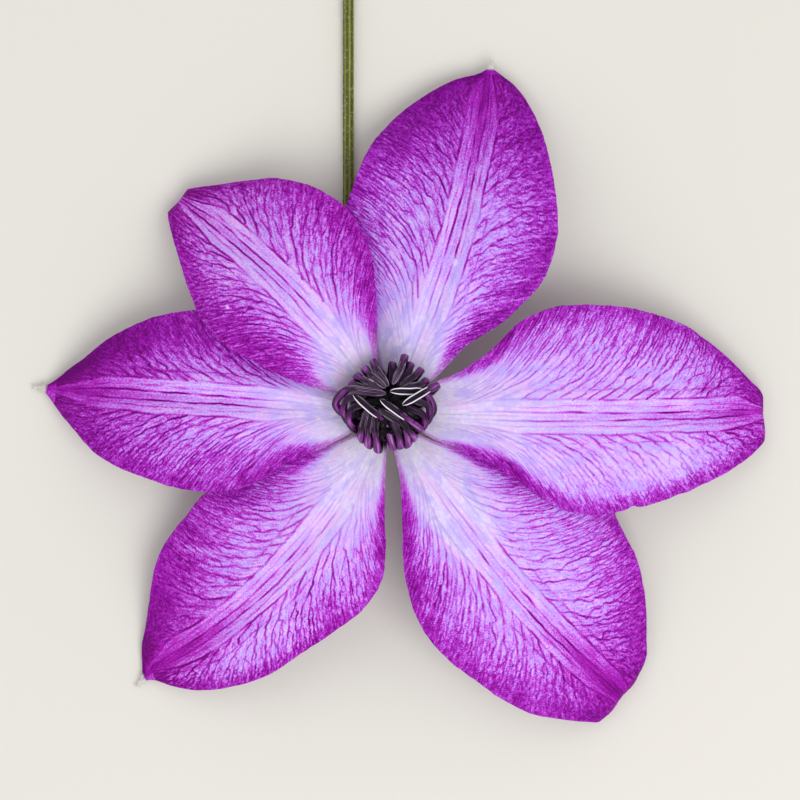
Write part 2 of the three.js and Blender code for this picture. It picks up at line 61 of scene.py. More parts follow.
STALK_RADIUS = 0.72
STALK_SIDES = 12  # flats of the plain stem, which it lies on
STALK_OFFSET = -5  # x of the straight stretch
STALK_END = 76  # y of the cut end
STALK_BEND = 30  # y where it begins to bend towards the flower
NECK_BOTTOM = 7.7  # where it stands upright and swells towards the flower
NECK_RADIUS = 1.05
RIM_RADIUS = 2.35
RIM_TOP = 10.8
RIM_BOTTOM = 9.1

# The flower's axis in the frame: the stalk's far end is STALK_END from it, and the place where the
# stalk lies on the table is at STALK_OFFSET.
lying_place = next(m for m in frame["record"]["mounts"] if m["name"] == "rest")["pos_m"]
axis_x = lying_place[0] * 1000 - STALK_OFFSET
AXIS = np.array([axis_x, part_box("flower_stalk")[1].y * 1000 - STALK_END, 0.0])


def placed(points):
    """Points laid out round the flower's axis in millimetres, in the frame in metres."""
    return (np.asarray(points, float) + AXIS) / 1000


def smooth_line(points, steps):
    """A centripetal curve through the points, with so many steps between each two."""
    points = np.asarray(points, float)
    p = np.vstack([2 * points[0] - points[1], points, 2 * points[-1] - points[-2]])
    found = []
    for k in range(1, len(p) - 2):
        before, here, there, after = p[k - 1 : k + 3]
        gaps = ((before, here), (here, there), (there, after))
        d0, d1, d2 = (np.linalg.norm(b - a) ** 0.5 for a, b in gaps)
        leave = d1 * ((here - before) / d0 - (there - before) / (d0 + d1) + (there - here) / d1)
        arrive = d1 * ((there - here) / d1 - (after - here) / (d1 + d2) + (after - there) / d2)
        s = np.linspace(0, 1, steps, endpoint=False)[:, None]
        found.append(
            here
            + leave * s
            + (3 * (there - here) - 2 * leave - arrive) * s**2
            + (2 * (here - there) + leave + arrive) * s**3
        )
    return np.vstack([*found, points[-1:]])


def carried_sides(points, first_side, levelling=None):
    """Directions across a line, carried along it untwisted, or turned level little by little."""
    tangents = np.gradient(points, axis=0)
    tangents /= np.linalg.norm(tangents, axis=1)[:, None]
    side = np.asarray(first_side, float)
    sides = []
    for k, tangent in enumerate(tangents):
        side = side - tangent * side.dot(tangent)
        side = side / np.linalg.norm(side)
        if levelling is not None:
            level = np.array([-tangent[1], tangent[0], 0])
            level *= math.copysign(1, level.dot(side))
            side = side + (level - side) * levelling[k]
            side = side / np.linalg.norm(side)
        sides.append(side)
    return np.array(sides)


def put(name, data):
    """A new object in the scene, at the origin."""
    thing = bpy.data.objects.new(name, data)
    bpy.context.scene.collection.objects.link(thing)
    return thing


def tell(mesh, values):
    """Stores what a node tree or a finish needs to know of each point of a mesh."""
    for key, value in values.items():
        value = np.asarray(value, np.float32)
        kind, field = ("FLOAT_VECTOR", "vector") if value.ndim == 2 else ("FLOAT", "value")
        mesh.attributes.new(key, kind, "POINT").data.foreach_set(field, value.ravel())


def strand_object(name, lines, values):
    """Lines as loose edges, for a node tree to sweep a section along."""
    edges, first = [], 0
    for line in lines:
        edges += [(i, i + 1) for i in range(first, first + len(line) - 1)]
        first += len(line)
    mesh = bpy.data.meshes.new(name)
    mesh.from_pydata(placed(np.vstack(lines)), edges, [])
    tell(mesh, values)
    return put(name, mesh)


class Growth:
    """A node tree that grows a piece out of the object it is put on."""

    def __init__(self, name, **inputs):
        self.tree = bpy.data.node_groups.new(name, "GeometryNodeTree")
        face = self.tree.interface
        face.new_socket("Geometry", in_out="INPUT", socket_type="NodeSocketGeometry")
        for key, kind in inputs.items():
            face.new_socket(key.replace("_", " "), in_out="INPUT", socket_type="NodeSocket" + kind)
        face.new_socket("Geometry", in_out="OUTPUT", socket_type="NodeSocketGeometry")
        self.inlet = self.tree.nodes.new("NodeGroupInput")

    def given(self, name):
        return self.inlet.outputs[name]

    def node(self, kind, settings=None, values=None, out=0):
        """Any node: its settings first, then the values or links of its sockets."""
        node = self.tree.nodes.new(kind)
        for key, value in (settings or {}).items():
            setattr(node, key, value)
        for key, value in (values or {}).items():
            if isinstance(value, bpy.types.NodeSocket):
                self.tree.links.new(value, node.inputs[key])
            else:
                node.inputs[key].default_value = value
        return node.outputs[out]

    def maths(self, operation, *values):
        return self.node("ShaderNodeMath", {"operation": operation}, dict(enumerate(values)))

    def told(self, name, kind="FLOAT"):
        return self.node("GeometryNodeInputNamedAttribute", {"data_type": kind}, {"Name": name})

    def end(self, geometry):
        """The grown geometry, made real and given its finish."""
        real = self.node("GeometryNodeRealizeInstances", values={"Geometry": geometry})
        finish = {"Geometry": real, "Material": self.given("Finish")}
        finished = self.node("GeometryNodeSetMaterial", values=finish)
        outlet = self.tree.nodes.new("NodeGroupOutput")
        self.tree.links.new(finished, outlet.inputs["Geometry"])

    def sweep(self, section, name, value):
        """Ends in a section, with one named value round it, swept along the strand."""
        section = self.node(
            "GeometryNodeStoreNamedAttribute",
            {"data_type": "FLOAT", "domain": "POINT"},
            {"Geometry": section, "Name": name, "Value": value},
        )
        strand = self.node("GeometryNodeMeshToCurve", values={"Mesh": self.given("Geometry")})
        turned = {"Curve": strand, "Normal": self.told("side", "FLOAT_VECTOR")}
        strand = self.node("GeometryNodeSetCurveNormal", {"mode": "FREE"}, turned)
        swept = {"Curve": strand, "Profile Curve": section, "Scale": self.told("width")}
        self.end(self.node("GeometryNodeCurveToMesh", values={**swept, "Fill Caps": True}))

    def grow(self, on, name, **values):
        """Puts the tree on an object and returns what grows as a plain mesh object."""
        modifier = on.modifiers.new(self.tree.name, "NODES")
        modifier.node_group = self.tree
        sockets = {
            item.name: item.identifier
            for item in self.tree.interface.items_tree
            if item.item_type == "SOCKET" and item.in_out == "INPUT"
        }
        for key, value in values.items():
            modifier[sockets[key.replace("_", " ")]] = value
        seen = on.evaluated_get(bpy.context.evaluated_depsgraph_get())
        mesh = bpy.data.meshes.new_from_object(seen)
        on.modifiers.remove(modifier)
        mesh.name = name
        mesh.shade_smooth()
        return put(name, mesh)


def linear(colour):
    """A colour written as six hex digits, as the linear values that sockets take."""
    parts = [int(colour[i : i + 2], 16) / 255 for i in (1, 3, 5)]
    return [p / 12.92 if p <= 0.04045 else ((p + 0.055) / 1.055) ** 2.4 for p in parts] + [1.0]


class Value:
    """A number or colour that varies over a finish, for use in ordinary expressions."""

    def __init__(self, finish, socket):
        self.finish, self.socket = finish, socket

    def maths(self, operation, *others):
        values = dict(enumerate([self, *others]))
        return self.finish.node("ShaderNodeMath", {"operation": operation}, values)

    def __add__(self, other):
        return self.maths("ADD", other)

    def __sub__(self, other):
        return self.maths("SUBTRACT", other)

    def __mul__(self, other):
        return self.maths("MULTIPLY", other)

    def __rsub__(self, other):
        return self.finish.node("ShaderNodeMath", {"operation": "SUBTRACT"}, {0: other, 1: self})

    __radd__ = __add__

    def step(self, low, high):
        """0 below low, 1 above high and a smooth rise between them."""
        values = {"Value": self, "From Min": low, "From Max": high}
        settings = {"interpolation_type": "SMOOTHSTEP"}
        return self.finish.node("ShaderNodeMapRange", settings, values)

    def stretched(self, scales, shift=(0, 0, 0)):
        """A place drawn out by three scales and moved."""
        settings = {"operation": "MULTIPLY_ADD"}
        return self.finish.node("ShaderNodeVectorMath", settings, {0: self, 1: scales, 2: shift})

    def part(self, number):
        """One of a place's three numbers."""
        return self.finish.node("ShaderNodeSeparateXYZ", values={"Vector": self}, out=number)


class Finish:
    """A material under construction round one surface shader."""

    def __init__(self, name, **constants):
        self.material = bpy.data.materials.new(name)
        self.material.use_nodes = True
        self.nodes = self.material.node_tree.nodes
        self.links = self.material.node_tree.links
        self.shader = self.nodes["Principled BSDF"]
        for key, value in constants.items():
            value = linear(value) if key == "Base_Color" else value
            self.shader.inputs[key.replace("_", " ")].default_value = value

    def node(self, kind, settings=None, values=None, out=0):
        """Any node: its settings first, then the values or links of its sockets."""
        node = self.nodes.new(kind)
        for key, value in (settings or {}).items():
            if key == "stops":
                points = node.color_ramp.elements
                points.remove(points[-1])
                for place, colour in value:
                    point = points[0] if place == value[0][0] else points.new(place)
                    point.position, point.color = place, linear(colour)
            else:
                setattr(node, key, value)
        for key, value in (values or {}).items():
            if isinstance(value, Value):
                self.links.new(value.socket, node.inputs[key])
            else:
                node.inputs[key].default_value = value
        return Value(self, node.outputs[out])

    def told(self, name, out="Fac"):
        """What the mesh says of itself at each point."""
        return self.node("ShaderNodeAttribute", {"attribute_name": name}, out=out)

    def noise(self, where, detail):
        values = {"Vector": where, "Scale": 1.0, "Detail": detail}
        return self.node("ShaderNodeTexNoise", values=values)

    def grain(self, scales, detail):
        """Noise on the piece in its own space, stretched by three scales per metre."""
        return self.noise(self.node("ShaderNodeTexCoord", out="Object").stretched(scales), detail)

    def mix(self, share, first, second):
        """A colour between two others, each a value or six hex digits."""
        colours = [c if isinstance(c, Value) else linear(c) for c in (first, second)]
        return self.node(
            "ShaderNodeMix", {"data_type": "RGBA"}, {0: share, 6: colours[0], 7: colours[1]}, out=2
        )

    def ramp(self, value, stops):
        return self.node("ShaderNodeValToRGB", {"stops": stops}, {"Fac": value})

    def bump(self, height, distance, strength):
        values = {"Height": height, "Distance": distance, "Strength": strength}
        return self.node("ShaderNodeBump", values=values, out="Normal")

    def feed(self, **sockets):
        for key, value in sockets.items():
            self.links.new(value.socket, self.shader.inputs[key.replace("_", " ")])
        return self.material


def stalk_line():
    """Points and radii of the stalk, from the cut end to the top of the disc."""
    lying = STALK_RADIUS * math.cos(math.pi / STALK_SIDES)
    straight = [[STALK_OFFSET, y, lying] for y in np.arange(STALK_END, STALK_BEND, -0.6)]
    under_flower = [
        (STALK_OFFSET, STALK_BEND, lying),
        (STALK_OFFSET, 22, lying),
        (-4.4, 14.5, 0.85),
        (-3, 8.6, 1.5),
        (-1.4, 4.2, 3.2),
        (-0.35, 1.3, 5.4),
        (0, 0, NECK_BOTTOM),
    ]
    bend = smooth_line(under_flower, 14)
    bend[:, 2] = np.maximum(bend[:, 2], lying)
    swelling = (NECK_RADIUS - STALK_RADIUS) * (bend[:, 2] / NECK_BOTTOM) ** 3
    disc_z = np.linspace(NECK_BOTTOM, RIM_TOP, 22)[1:]
    disc_radius = np.interp(
        disc_z,
        [NECK_BOTTOM, 8.4, 8.8, RIM_BOTTOM, RIM_BOTTOM + 0.4, RIM_TOP - 0.3, RIM_TOP],
        [NECK_RADIUS, 1.4, 1.75, RIM_RADIUS - 0.2, RIM_RADIUS, RIM_RADIUS, 1.7],
    )
    points = np.vstack([straight, bend, [[0, 0, z] for z in disc_z]])
    bend_radius = STALK_RADIUS + np.where(bend[:, 2] > lying, swelling, 0)
    return points, np.concatenate([np.full(len(straight), STALK_RADIUS), bend_radius, disc_radius])


# Sweeps a ridged round section along the strand, and tells how high each point round it is.
stem_tree = Growth("ridged_stem", Ridges="Int", Ridge_height="Float", Sides="Int", Finish="Material")
size = {"Resolution": stem_tree.given("Sides"), "Radius": 1.0}
circle = stem_tree.node("GeometryNodeCurvePrimitiveCircle", values=size)
turn = stem_tree.maths("MULTIPLY", stem_tree.node("GeometryNodeSplineParameter"), 2 * math.pi)
ridge = stem_tree.maths("COSINE", stem_tree.maths("MULTIPLY", turn, stem_tree.given("Ridges")))
lowered = stem_tree.maths("SUBTRACT", ridge, 1.0)
spot = stem_tree.node("GeometryNodeInputPosition")
outward = stem_tree.node(
    "ShaderNodeVectorMath",
    {"operation": "SCALE"},
    {0: spot, "Scale": stem_tree.maths("MULTIPLY", lowered, stem_tree.given("Ridge height"))},
)
ridged = {"Geometry": circle, "Offset": outward}
stem_tree.sweep(stem_tree.node("GeometryNodeSetPosition", values=ridged), "ridge", ridge)

stalk_green = Finish("stalk_green", Roughness=0.5, Specular_IOR_Level=0.4)
ridge_line = stalk_green.told("ridge").step(-0.6, 1.0)
blotch = stalk_green.grain([900, 260, 900], 3.0)
long_fibre = stalk_green.grain([5200, 500, 5200], 2.0)
green = stalk_green.ramp(
    ridge_line * 0.45 + blotch * 0.5 + long_fibre * 0.35 - 0.15,
    [(0.15, "#343808"), (0.4, "#525810"), (0.62, "#6e7620"), (0.9, "#8e9440")],
)
stalk_green.feed(
    Base_Color=stalk_green.mix(stalk_green.told("height").step(0.55, 1.0), green, "#a3a86a"),
    Roughness=0.42 + blotch * 0.25,
    Normal=stalk_green.bump(long_fibre + blotch * 0.6, 0.00006, 0.6),
)

points, radii = stalk_line()
values = {
    "side": carried_sides(points, [-1, 0, 0]),
    "width": radii / 1000,
    "height": points[:, 2] / RIM_TOP,
    "downy": np.full(len(points), 1.0),
}
strand = strand_object("stalk_strand", [points], values)
form = {"Ridges": 7, "Ridge_height": 0.05, "Sides": 42, "Finish": stalk_green.material}
stalk = stem_tree.grow(strand, "stalk_skin", **form)
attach(stalk, "root")
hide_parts("flower_stalk")
bpy.data.objects.remove(strand)

# Soft hairs: slim cones that stand on a skin, or on the part of it where a named value is high.
hair_tree = Growth(
    "soft_hairs",
    Where="String",
    Per_square_metre="Float",
    Length="Float",
    Radius="Float",
    Lean="Float",
    Seed="Int",
    Finish="Material",
)
chosen = hair_tree.maths("GREATER_THAN", hair_tree.told(hair_tree.given("Where")), 0.35)
seed, lean = hair_tree.given("Seed"), hair_tree.given("Lean")
feet = hair_tree.node(
    "GeometryNodeDistributePointsOnFaces",
    values={
        "Mesh": hair_tree.given("Geometry"),
        "Selection": chosen,
        "Density": hair_tree.given("Per square metre"),
        "Seed": seed,
    },
)
size = {"Radius Bottom": hair_tree.given("Radius"), "Depth": hair_tree.given("Length")}
hair = hair_tree.node("GeometryNodeMeshCone", {"fill_type": "NONE"}, {"Vertices": 3, **size})
least = hair_tree.maths("MULTIPLY", lean, -1.0)
limits = {
    k: hair_tree.node("ShaderNodeCombineXYZ", values={"X": most, "Y": most, "Z": most})
    for k, most in enumerate((least, lean))
}
tilt = hair_tree.node(
    "FunctionNodeRandomValue", {"data_type": "FLOAT_VECTOR"}, {**limits, "Seed": seed}
)
upright = hair_tree.node(
    "ShaderNodeVectorMath", {"operation": "ADD"}, {0: feet.node.outputs["Normal"], 1: tilt}
)
turned = hair_tree.node("FunctionNodeAlignRotationToVector", {"axis": "Z"}, {"Vector": upright})
size = {2: 0.5, 3: 1.3, "Seed": seed}
scale = hair_tree.node("FunctionNodeRandomValue", {"data_type": "FLOAT"}, size, out=1)
hairs = hair_tree.node(
    "GeometryNodeInstanceOnPoints",
    values={"Points": feet, "Instance": hair, "Rotation": turned, "Scale": scale},
)
# hairs that meet the table bend along it
hairs = hair_tree.node("GeometryNodeRealizeInstances", values={"Geometry": hairs})
spot = hair_tree.node("GeometryNodeInputPosition")
above = hair_tree.node("ShaderNodeVectorMath", {"operation": "MAXIMUM"}, {0: spot, 1: [-1, -1, 0]})
bent = {"Geometry": hairs, "Position": above}
hair_tree.end(hair_tree.node("GeometryNodeSetPosition", values=bent))

white_hair = Finish(
    "white_hair", Base_Color="#e6e4d8", Roughness=0.6, Specular_IOR_Level=0.3
).material
form = {"Where": "downy", "Per_square_metre": 7e6, "Length": 0.0005, "Radius": 0.000018}
down = hair_tree.grow(stalk, "stalk_down", **form, Lean=0.7, Seed=3, Finish=white_hair)
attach(down, "root")

# ---- Tepals ------------------------------------------------------------------------------------
# Six tepals stand in for petals: thin satin blades, each one piece, rooted side by side on the disc.
# Violet pigment gathers in the veins, the margins and the tip over a pale bluish ground. The veins
# are sunk into the face, and each blade ends in a short white silky point.

TEPAL_ROOT_REACH = 2.75
CROWN_RADIUS = 46  # how strongly a blade's margins bend down across its width
GROOVE_DEPTH = 0.3
GROOVE_WIDTH = 1.1
RIB_HEIGHT = 0.28
RIB_WIDTH = 1.2
RIB_SPREAD = 2.3
FULL_BREADTH = 9
TIP_ROUNDING_LEAD = 9
UPPER_FACE = 0.35  # the upper face is this far above the blade's middle surface
BLADE_THICKNESS = 0.42
MARGIN_THICKNESS = 0.16
FRAYING = ((0.1, 9), (0.05, 30), (0.04, 75))  # depths of a margin's wavering and their counts
FACE_ROWS = 344  # four times the rows of the lower face
FACE_COLUMNS = 184

# The midrib sweeps from root_bearing to tip_bearing. It rises from root to crest at crest_reach, then
# falls on a parabola to the height fall at blade_end, where the tip turns down by tip_turn degrees on
# a curve of tip_radius, or up if that is negative. A roll lifts the left margin. An outline row is a
# distance along the midrib and the half widths to its left and its right. A lean is how far a side
# vein travels towards the tip on its way to the left and the right margin. Depths of pigment and
# painted shade run from 0, nearly white, to 1, dark purple: ground is that of the middle of the
# blade, which deepens to the tip's from a share tip_from of the length, sides are what the left and
# right sides add to it, tip_sides what they add towards the tip, centre what the strip along the
# midrib adds there, and margins are the widths of the dark bands along both margins. These depths
# carry painted shade as well as pigment: parts of a blade that face away from the light at the lower
# right are made deeper. Painted highlights are lines from one place to another with a width and what
# they add, paler where a rib bulge or a fold catches the light. Nicks are a side, a place along it,
# a depth and a length.
TEPALS = [
    {
        "name": "tepal_top",
        "root_bearing": 63.6, "tip_bearing": 73.4, "roll": -3.5, "waves": (0.5, 15, 0.4),
        "root": 9.6, "crest": 11.6, "crest_reach": 17, "fall": 2.5, "blade_end": 43.2,
        "tip_turn": -25, "tip_radius": 3, "tip_rounding": (0, 0),
        "outline": [
            (2.75, 1.2, 1.2), (6, 4.2, 3.4), (11, 7.8, 5.5), (16, 11, 9.2), (21, 13.9, 11.7),
            (26, 14, 12.1), (31, 13.4, 10.8), (36, 11.7, 8.6), (40, 8.7, 6.4), (43, 4.3, 3.7),
            (44.4, 1.3, 1.6), (45.2, 0.4, 0.4), (46.1, 0.3, 0.3),
        ],
        "lean": (12, 8), "margins": (2.2, 3.2), "sides": (0.0, 0.05), "tip_sides": (0.06, -0.06),
        "ground": 0.37, "centre": 0.08, "tip": 0.78, "tip_from": 0.5, "rosy": 0.1,
        "painted_highlights": [(19.7, -1.1, 20.7, -0.9, 0.2, -0.5)],
    },
    {
        "name": "tepal_right",
        "root_bearing": -3, "tip_bearing": 0, "roll": 1.5, "waves": (0.45, 17, 2.2),
        "root": 9.8, "crest": 12.2, "crest_reach": 18, "fall": 2.7, "blade_end": 46.3,
        "tip_turn": 118, "tip_radius": 1.7, "tip_rounding": (0.03, -0.01),
        "outline": [
            (2.75, 1.2, 1.2), (5.7, 3.8, 3), (9, 5.5, 4.1), (12.5, 8.1, 5.6), (15.7, 11.4, 7.6),
            (20, 13.4, 10.6), (25, 13.8, 12), (30, 13.4, 11.6), (35, 12.3, 10.2), (40, 10.2, 8.3),
            (44, 7.1, 6.2), (46.4, 3.4, 4.4), (48, 1.5, 3.2), (49, 0.6, 1.8), (50, 0.3, 0.3),
        ],
        "lean": (13, 12), "margins": (2.2, 1.8), "sides": (0.0, -0.1), "tip_sides": (0.02, -0.06),
        "ground": 0.3, "centre": 0.14, "tip": 0.6, "tip_from": 0.72, "rosy": 0.35,
        "nicks": [(-1, 30.7, 0.4, 0.6)],
    },
    {
        "name": "tepal_lower_right",
        "root_bearing": 300.5, "tip_bearing": 309.2, "roll": -3.5, "waves": (0.45, 16, 5),
        "root": 9.5, "crest": 11.3, "crest_reach": 17, "fall": 2.6, "blade_end": 45.5,
        "tip_turn": 118, "tip_radius": 1.7, "tip_rounding": (0, 0.005),
        "outline": [
            (2.75, 1.2, 1.2), (5, 2.2, 2), (8.2, 4.6, 3.3), (11.2, 6.8, 5.3), (15, 9.2, 8),
            (18.2, 11.2, 9.8), (22.6, 14.2, 11.7), (28, 15.6, 12), (32, 14.7, 11.2),
            (36, 13.6, 10.4), (39.7, 11.5, 9.2), (42.5, 9.2, 7.3), (45, 6.5, 5.4), (46.8, 4.7, 4),
            (47.8, 3.4, 3.2), (48.6, 1.7, 1.6), (49.3, 0.3, 0.3),
        ],
        "lean": (11, 12), "margins": (1.8, 2.2), "sides": (0.03, 0.1), "tip_sides": (0.02, -0.06),
        "ground": 0.3, "centre": 0.28, "tip": 0.66, "tip_from": 0.62, "rosy": 0.4,
        "painted_highlights": [(9, 2.2, 23, 2.6, 0.8, -0.16), (11, -2.4, 22, -2, 0.8, -0.2)],
    },
    {
        "name": "tepal_lower_left",
        "root_bearing": 247, "tip_bearing": 227.6, "roll": 2.5, "waves": (0.6, 13, 3.3),
        "root": 9.3, "crest": 10.8, "crest_reach": 17, "fall": 1.2, "blade_end": 43.6,
        "tip_turn": -24, "tip_radius": 6, "tip_rounding": (0, 0),
        "outline": [
            (2.75, 1.2, 1.2), (4.2, 1.8, 2.3), (7.6, 3.5, 4.9), (10.5, 5.3, 7.2), (14, 8, 9.9),
            (17.3, 10.1, 11.7), (20.5, 10.6, 12.9), (24.3, 9.8, 13.6), (29, 9, 13.3),
            (33.2, 8.4, 12.6), (36.5, 7.3, 11.1), (39.2, 6, 8.5), (42, 3.8, 5.3),
            (44.2, 1.5, 2.6), (45.8, 0.4, 0.5), (47.2, 0.3, 0.3),
        ],
        "lean": (10, 11), "margins": (1.0, 2.6), "sides": (0.04, 0.1), "tip_sides": (-0.24, 0.12),
        "ground": 0.32, "centre": 0.24, "tip": 0.62, "tip_from": 0.58, "rosy": 0.5,
        "painted_highlights": [(34, -12, 25.5, -5, 0.45, -0.22)],
    },
    {
        "name": "tepal_left",
        "root_bearing": 176, "tip_bearing": 176.1, "roll": 5, "waves": (0.4, 18, 1.1),
        "root": 9.3, "crest": 11.7, "crest_reach": 17, "fall": 2.2, "blade_end": 40.6,
        "tip_turn": -22, "tip_radius": 8, "tip_rounding": (0, 0),
        "outline": [
            (2.75, 1.2, 1.2), (4.2, 2.5, 1.8), (8.2, 5.1, 4.6), (13, 7.7, 7.6), (16, 10.1, 9.4),
            (20.3, 11.2, 10.7), (24.6, 11.2, 11), (29, 10.3, 10.3), (33, 9, 8.7), (36, 7.4, 6.7),
            (39.3, 4.5, 3.5), (42, 2, 1.4), (43.7, 0.5, 0.4), (45.4, 0.3, 0.3),
        ],
        "lean": (12, 12), "margins": (2.0, 2.6), "sides": (0.0, 0.24), "tip_sides": (-0.08, -0.04),
        "ground": 0.38, "centre": 0.06, "tip": 0.76, "tip_from": 0.5, "rosy": 0.35,
    },
    {
        "name": "tepal_upper_left",
        "root_bearing": 123.5, "tip_bearing": 134.1, "roll": 2, "waves": (0.4, 15, 4.2),
        "root": 10.25, "crest": 14.2, "crest_reach": 15, "fall": 3.1, "blade_end": 36.7,
        "tip_turn": 105, "tip_radius": 1.9, "tip_rounding": (-0.02, 0.02),
        "outline": [
            (2.75, 1.2, 1.2), (5.4, 3.6, 2.2), (9.6, 6.6, 5.6), (12.3, 7.8, 7.8),
            (15.1, 8.8, 9.9), (18.8, 10, 11.5), (22.3, 10.3, 12.1), (25.7, 9.9, 11.6),
            (28.8, 8.5, 10), (31.4, 6.9, 8.6), (33.3, 5.5, 6.5), (35.5, 3.9, 3.5),
            (37.2, 2.6, 1.7), (39, 2.1, 1.3), (40.2, 1.2, 0.7), (41.7, 0.3, 0.3),
        ],
        "lean": (11, 11), "margins": (3.0, 2.6), "sides": (0.2, 0.1), "tip_sides": (-0.14, -0.04),
        "ground": 0.34, "centre": 0.05, "tip": 0.5, "tip_from": 0.6, "rosy": 0.45,
        "painted_highlights": [(23, 6.8, 23.8, 6.7, 0.2, -0.5)],
    },
]


def along(rows, position, column):
    """A smooth value along a table of rows."""
    rows = np.asarray(rows, float)
    places, heights = rows[:, 0], rows[:, column]
    spans = np.diff(places)
    rises = np.diff(heights) / spans
    inner = (rises[:-1] * spans[1:] + rises[1:] * spans[:-1]) / (spans[:-1] + spans[1:])
    slopes = np.concatenate([rises[:1], inner, rises[-1:]])
    x = np.clip(position, places[0], places[-1])
    i = np.clip(np.searchsorted(places, x, side="left") - 1, 0, len(rises) - 1)
    span = places[i + 1] - places[i]
    s = (x - places[i]) / span
    return (
        heights[i] * (1 + 2 * s) * (1 - s) ** 2
        + heights[i + 1] * s * s * (3 - 2 * s)
        + slopes[i] * span * s * (1 - s) ** 2
        + slopes[i + 1] * span * s * s * (s - 1)
    )


def half_widths(outline, q, side):
    """Half the width at a place along a blade: of its left half where side is above 0."""
    return np.where(side > 0, along(outline, q, 1), along(outline, q, 2))


def midrib(tepal, q):
    """How far out the midrib is at a distance q along it, how high, and how steeply it falls."""
    root, crest, fall = tepal["root"], tepal["crest"], tepal["fall"]
    crest_reach, end = tepal["crest_reach"], tepal["blade_end"]
    climb = (np.minimum(q, crest_reach) - TEPAL_ROOT_REACH) / (crest_reach - TEPAL_ROOT_REACH)
    swing = math.pi / 2
    climbing = (crest - root) * swing * np.cos(swing * climb) / (crest_reach - TEPAL_ROOT_REACH)
    s = (np.clip(q, crest_reach, end) - crest_reach) / (end - crest_reach)
    reach = np.minimum(q, end)
    rising = q <= crest_reach
    climbed = root + (crest - root) * np.sin(swing * climb)
    height = np.where(rising, climbed, crest - (crest - fall) * s * s)
    falling = 2 * s * (crest - fall) / (end - crest_reach)
    angle = np.where(rising, -np.arctan(climbing), np.arctan(falling))
    turn = math.copysign(1, tepal["tip_turn"])
    most = math.radians(abs(tepal["tip_turn"]))
    past = np.maximum(q - end, 0)
    bend = np.minimum(past / tepal["tip_radius"], most) * turn
    straight = np.maximum(past - tepal["tip_radius"] * most, 0)
    bent, radius = angle + bend, tepal["tip_radius"] * turn
    reach = reach + radius * (np.sin(bent) - np.sin(angle)) + straight * np.cos(bent)
    height = height - radius * (np.cos(angle) - np.cos(bent)) - straight * np.sin(bent)
    return reach, height, bent


def blade(tepal, q, u, half_width):
    """The blade's middle surface. u runs from the right margin at -1 to the left one at 1."""
    reach, height, fall = midrib(tepal, q)
    end = tepal["blade_end"]
    turned = (tepal["tip_bearing"] - tepal["root_bearing"]) / end
    bearing = np.radians(tepal["root_bearing"] + turned * np.minimum(reach, end))
    zero = np.zeros_like(bearing)
    radial = np.stack([np.cos(bearing), np.sin(bearing), zero], -1)
    lateral = np.stack([-np.sin(bearing), np.cos(bearing), zero], -1)
    outward = radial + lateral * (reach * math.radians(turned))[..., None]
    outward /= np.linalg.norm(outward, axis=-1)[..., None]
    side = np.stack([-outward[..., 1], outward[..., 0], zero], -1)
    normal = outward * np.sin(fall)[..., None]
    normal[..., 2] = np.cos(fall)
    b = u * half_width
    fold = np.clip((q - end + TIP_ROUNDING_LEAD) / TIP_ROUNDING_LEAD, 0, 1)
    rounding = np.where(u > 0, *tepal["tip_rounding"])
    reach = reach - rounding * b * b * fold * fold * (3 - 2 * fold)
    broad = np.minimum(half_width / FULL_BREADTH, 1)
    groove = -GROOVE_DEPTH * np.exp(-((b / GROOVE_WIDTH) ** 2))
    ribs = RIB_HEIGHT * np.exp(-(((np.abs(b) - RIB_SPREAD) / RIB_WIDTH) ** 2))
    wave_height, length, phase = tepal["waves"]
    wave = wave_height * np.sin(2 * math.pi * q / length + phase + u) * np.abs(u) ** 3
    lift = (
        -(b * b) / (2 * CROWN_RADIUS)
        + b * math.tan(math.radians(tepal["roll"]))
        + broad * (groove + ribs + wave)
    )
    points = radial * reach[..., None] + side * b[..., None] + normal * lift[..., None]
    points[..., 2] += height
    return points


def surface_normals(points):
    rows = np.gradient(points, axis=0)
    columns = np.gradient(points, axis=1)
    normals = np.cross(rows, columns)
    return normals / np.linalg.norm(normals, axis=-1)[..., None]


def rise(x, low, high):
    """0 below low, 1 above high and a smooth rise between them."""
    s = np.clip((x - low) / (high - low), 0, 1)
    return s * s * (3 - 2 * s)


def rib_spread(q, half_width):
    """How far the outermost long rib is from the midrib."""
    return np.minimum(2.15 * (0.35 + 0.65 * rise(q, 2.75, 16)), 0.28 * half_width)


def wander(rng, count, waves):
    """A line that wavers smoothly between about -1 and 1 along its length."""
    knots = rng.uniform(-1, 1, waves + 3)
    x = np.linspace(0, waves, count)
    i = np.minimum(x.astype(int), waves - 1)
    s = x - i
    s = s * s * (3 - 2 * s)
    return knots[i] * (1 - s) + knots[i + 1] * s


FORK_PLACES = ((0.06, 0.34), (0.3, 0.62), (0.55, 0.92))  # share of the way out, for each fork
VEINS_END = 1.02
VEIN_STEP = 0.012  # share of the way to the margin between two points of a side vein
VEIN_FLARE = 4.5  # how much faster a side vein turns outwards near the margin than at its rib
SIDE_VEIN_WIDTH = 0.092
SIDE_VEIN_SPACING = 2.1
STREAK_WIDTH = 0.075
STREAK_COUNT = 7000  # on each half of a blade
# Long ribs: share of the way out to the outermost, strength and width
LONG_RIBS = ((0.27, 1.0, 0.11), (0.62, 0.45, 0.08), (1.0, 0.9, 0.1), (1.5, 0.5, 0.08))


def gone_along(outward):
    """Share of a side vein's travel along the blade at a share of its way out to the margin."""
    return np.log(1 + outward * VEIN_FLARE) / math.log(1 + VEIN_FLARE)


def vein_place(label, outward, lean):
    """Where along the blade the side vein that started at label is, at a share of its way out."""
    return label + gone_along(outward) * lean * (1.2 - 0.02 * label)


def vein_label(q, outward, lean):
    """Where the side vein started that runs through a place."""
    gone = gone_along(outward) * lean
    return (q - 1.2 * gone) / (1 - 0.02 * gone)


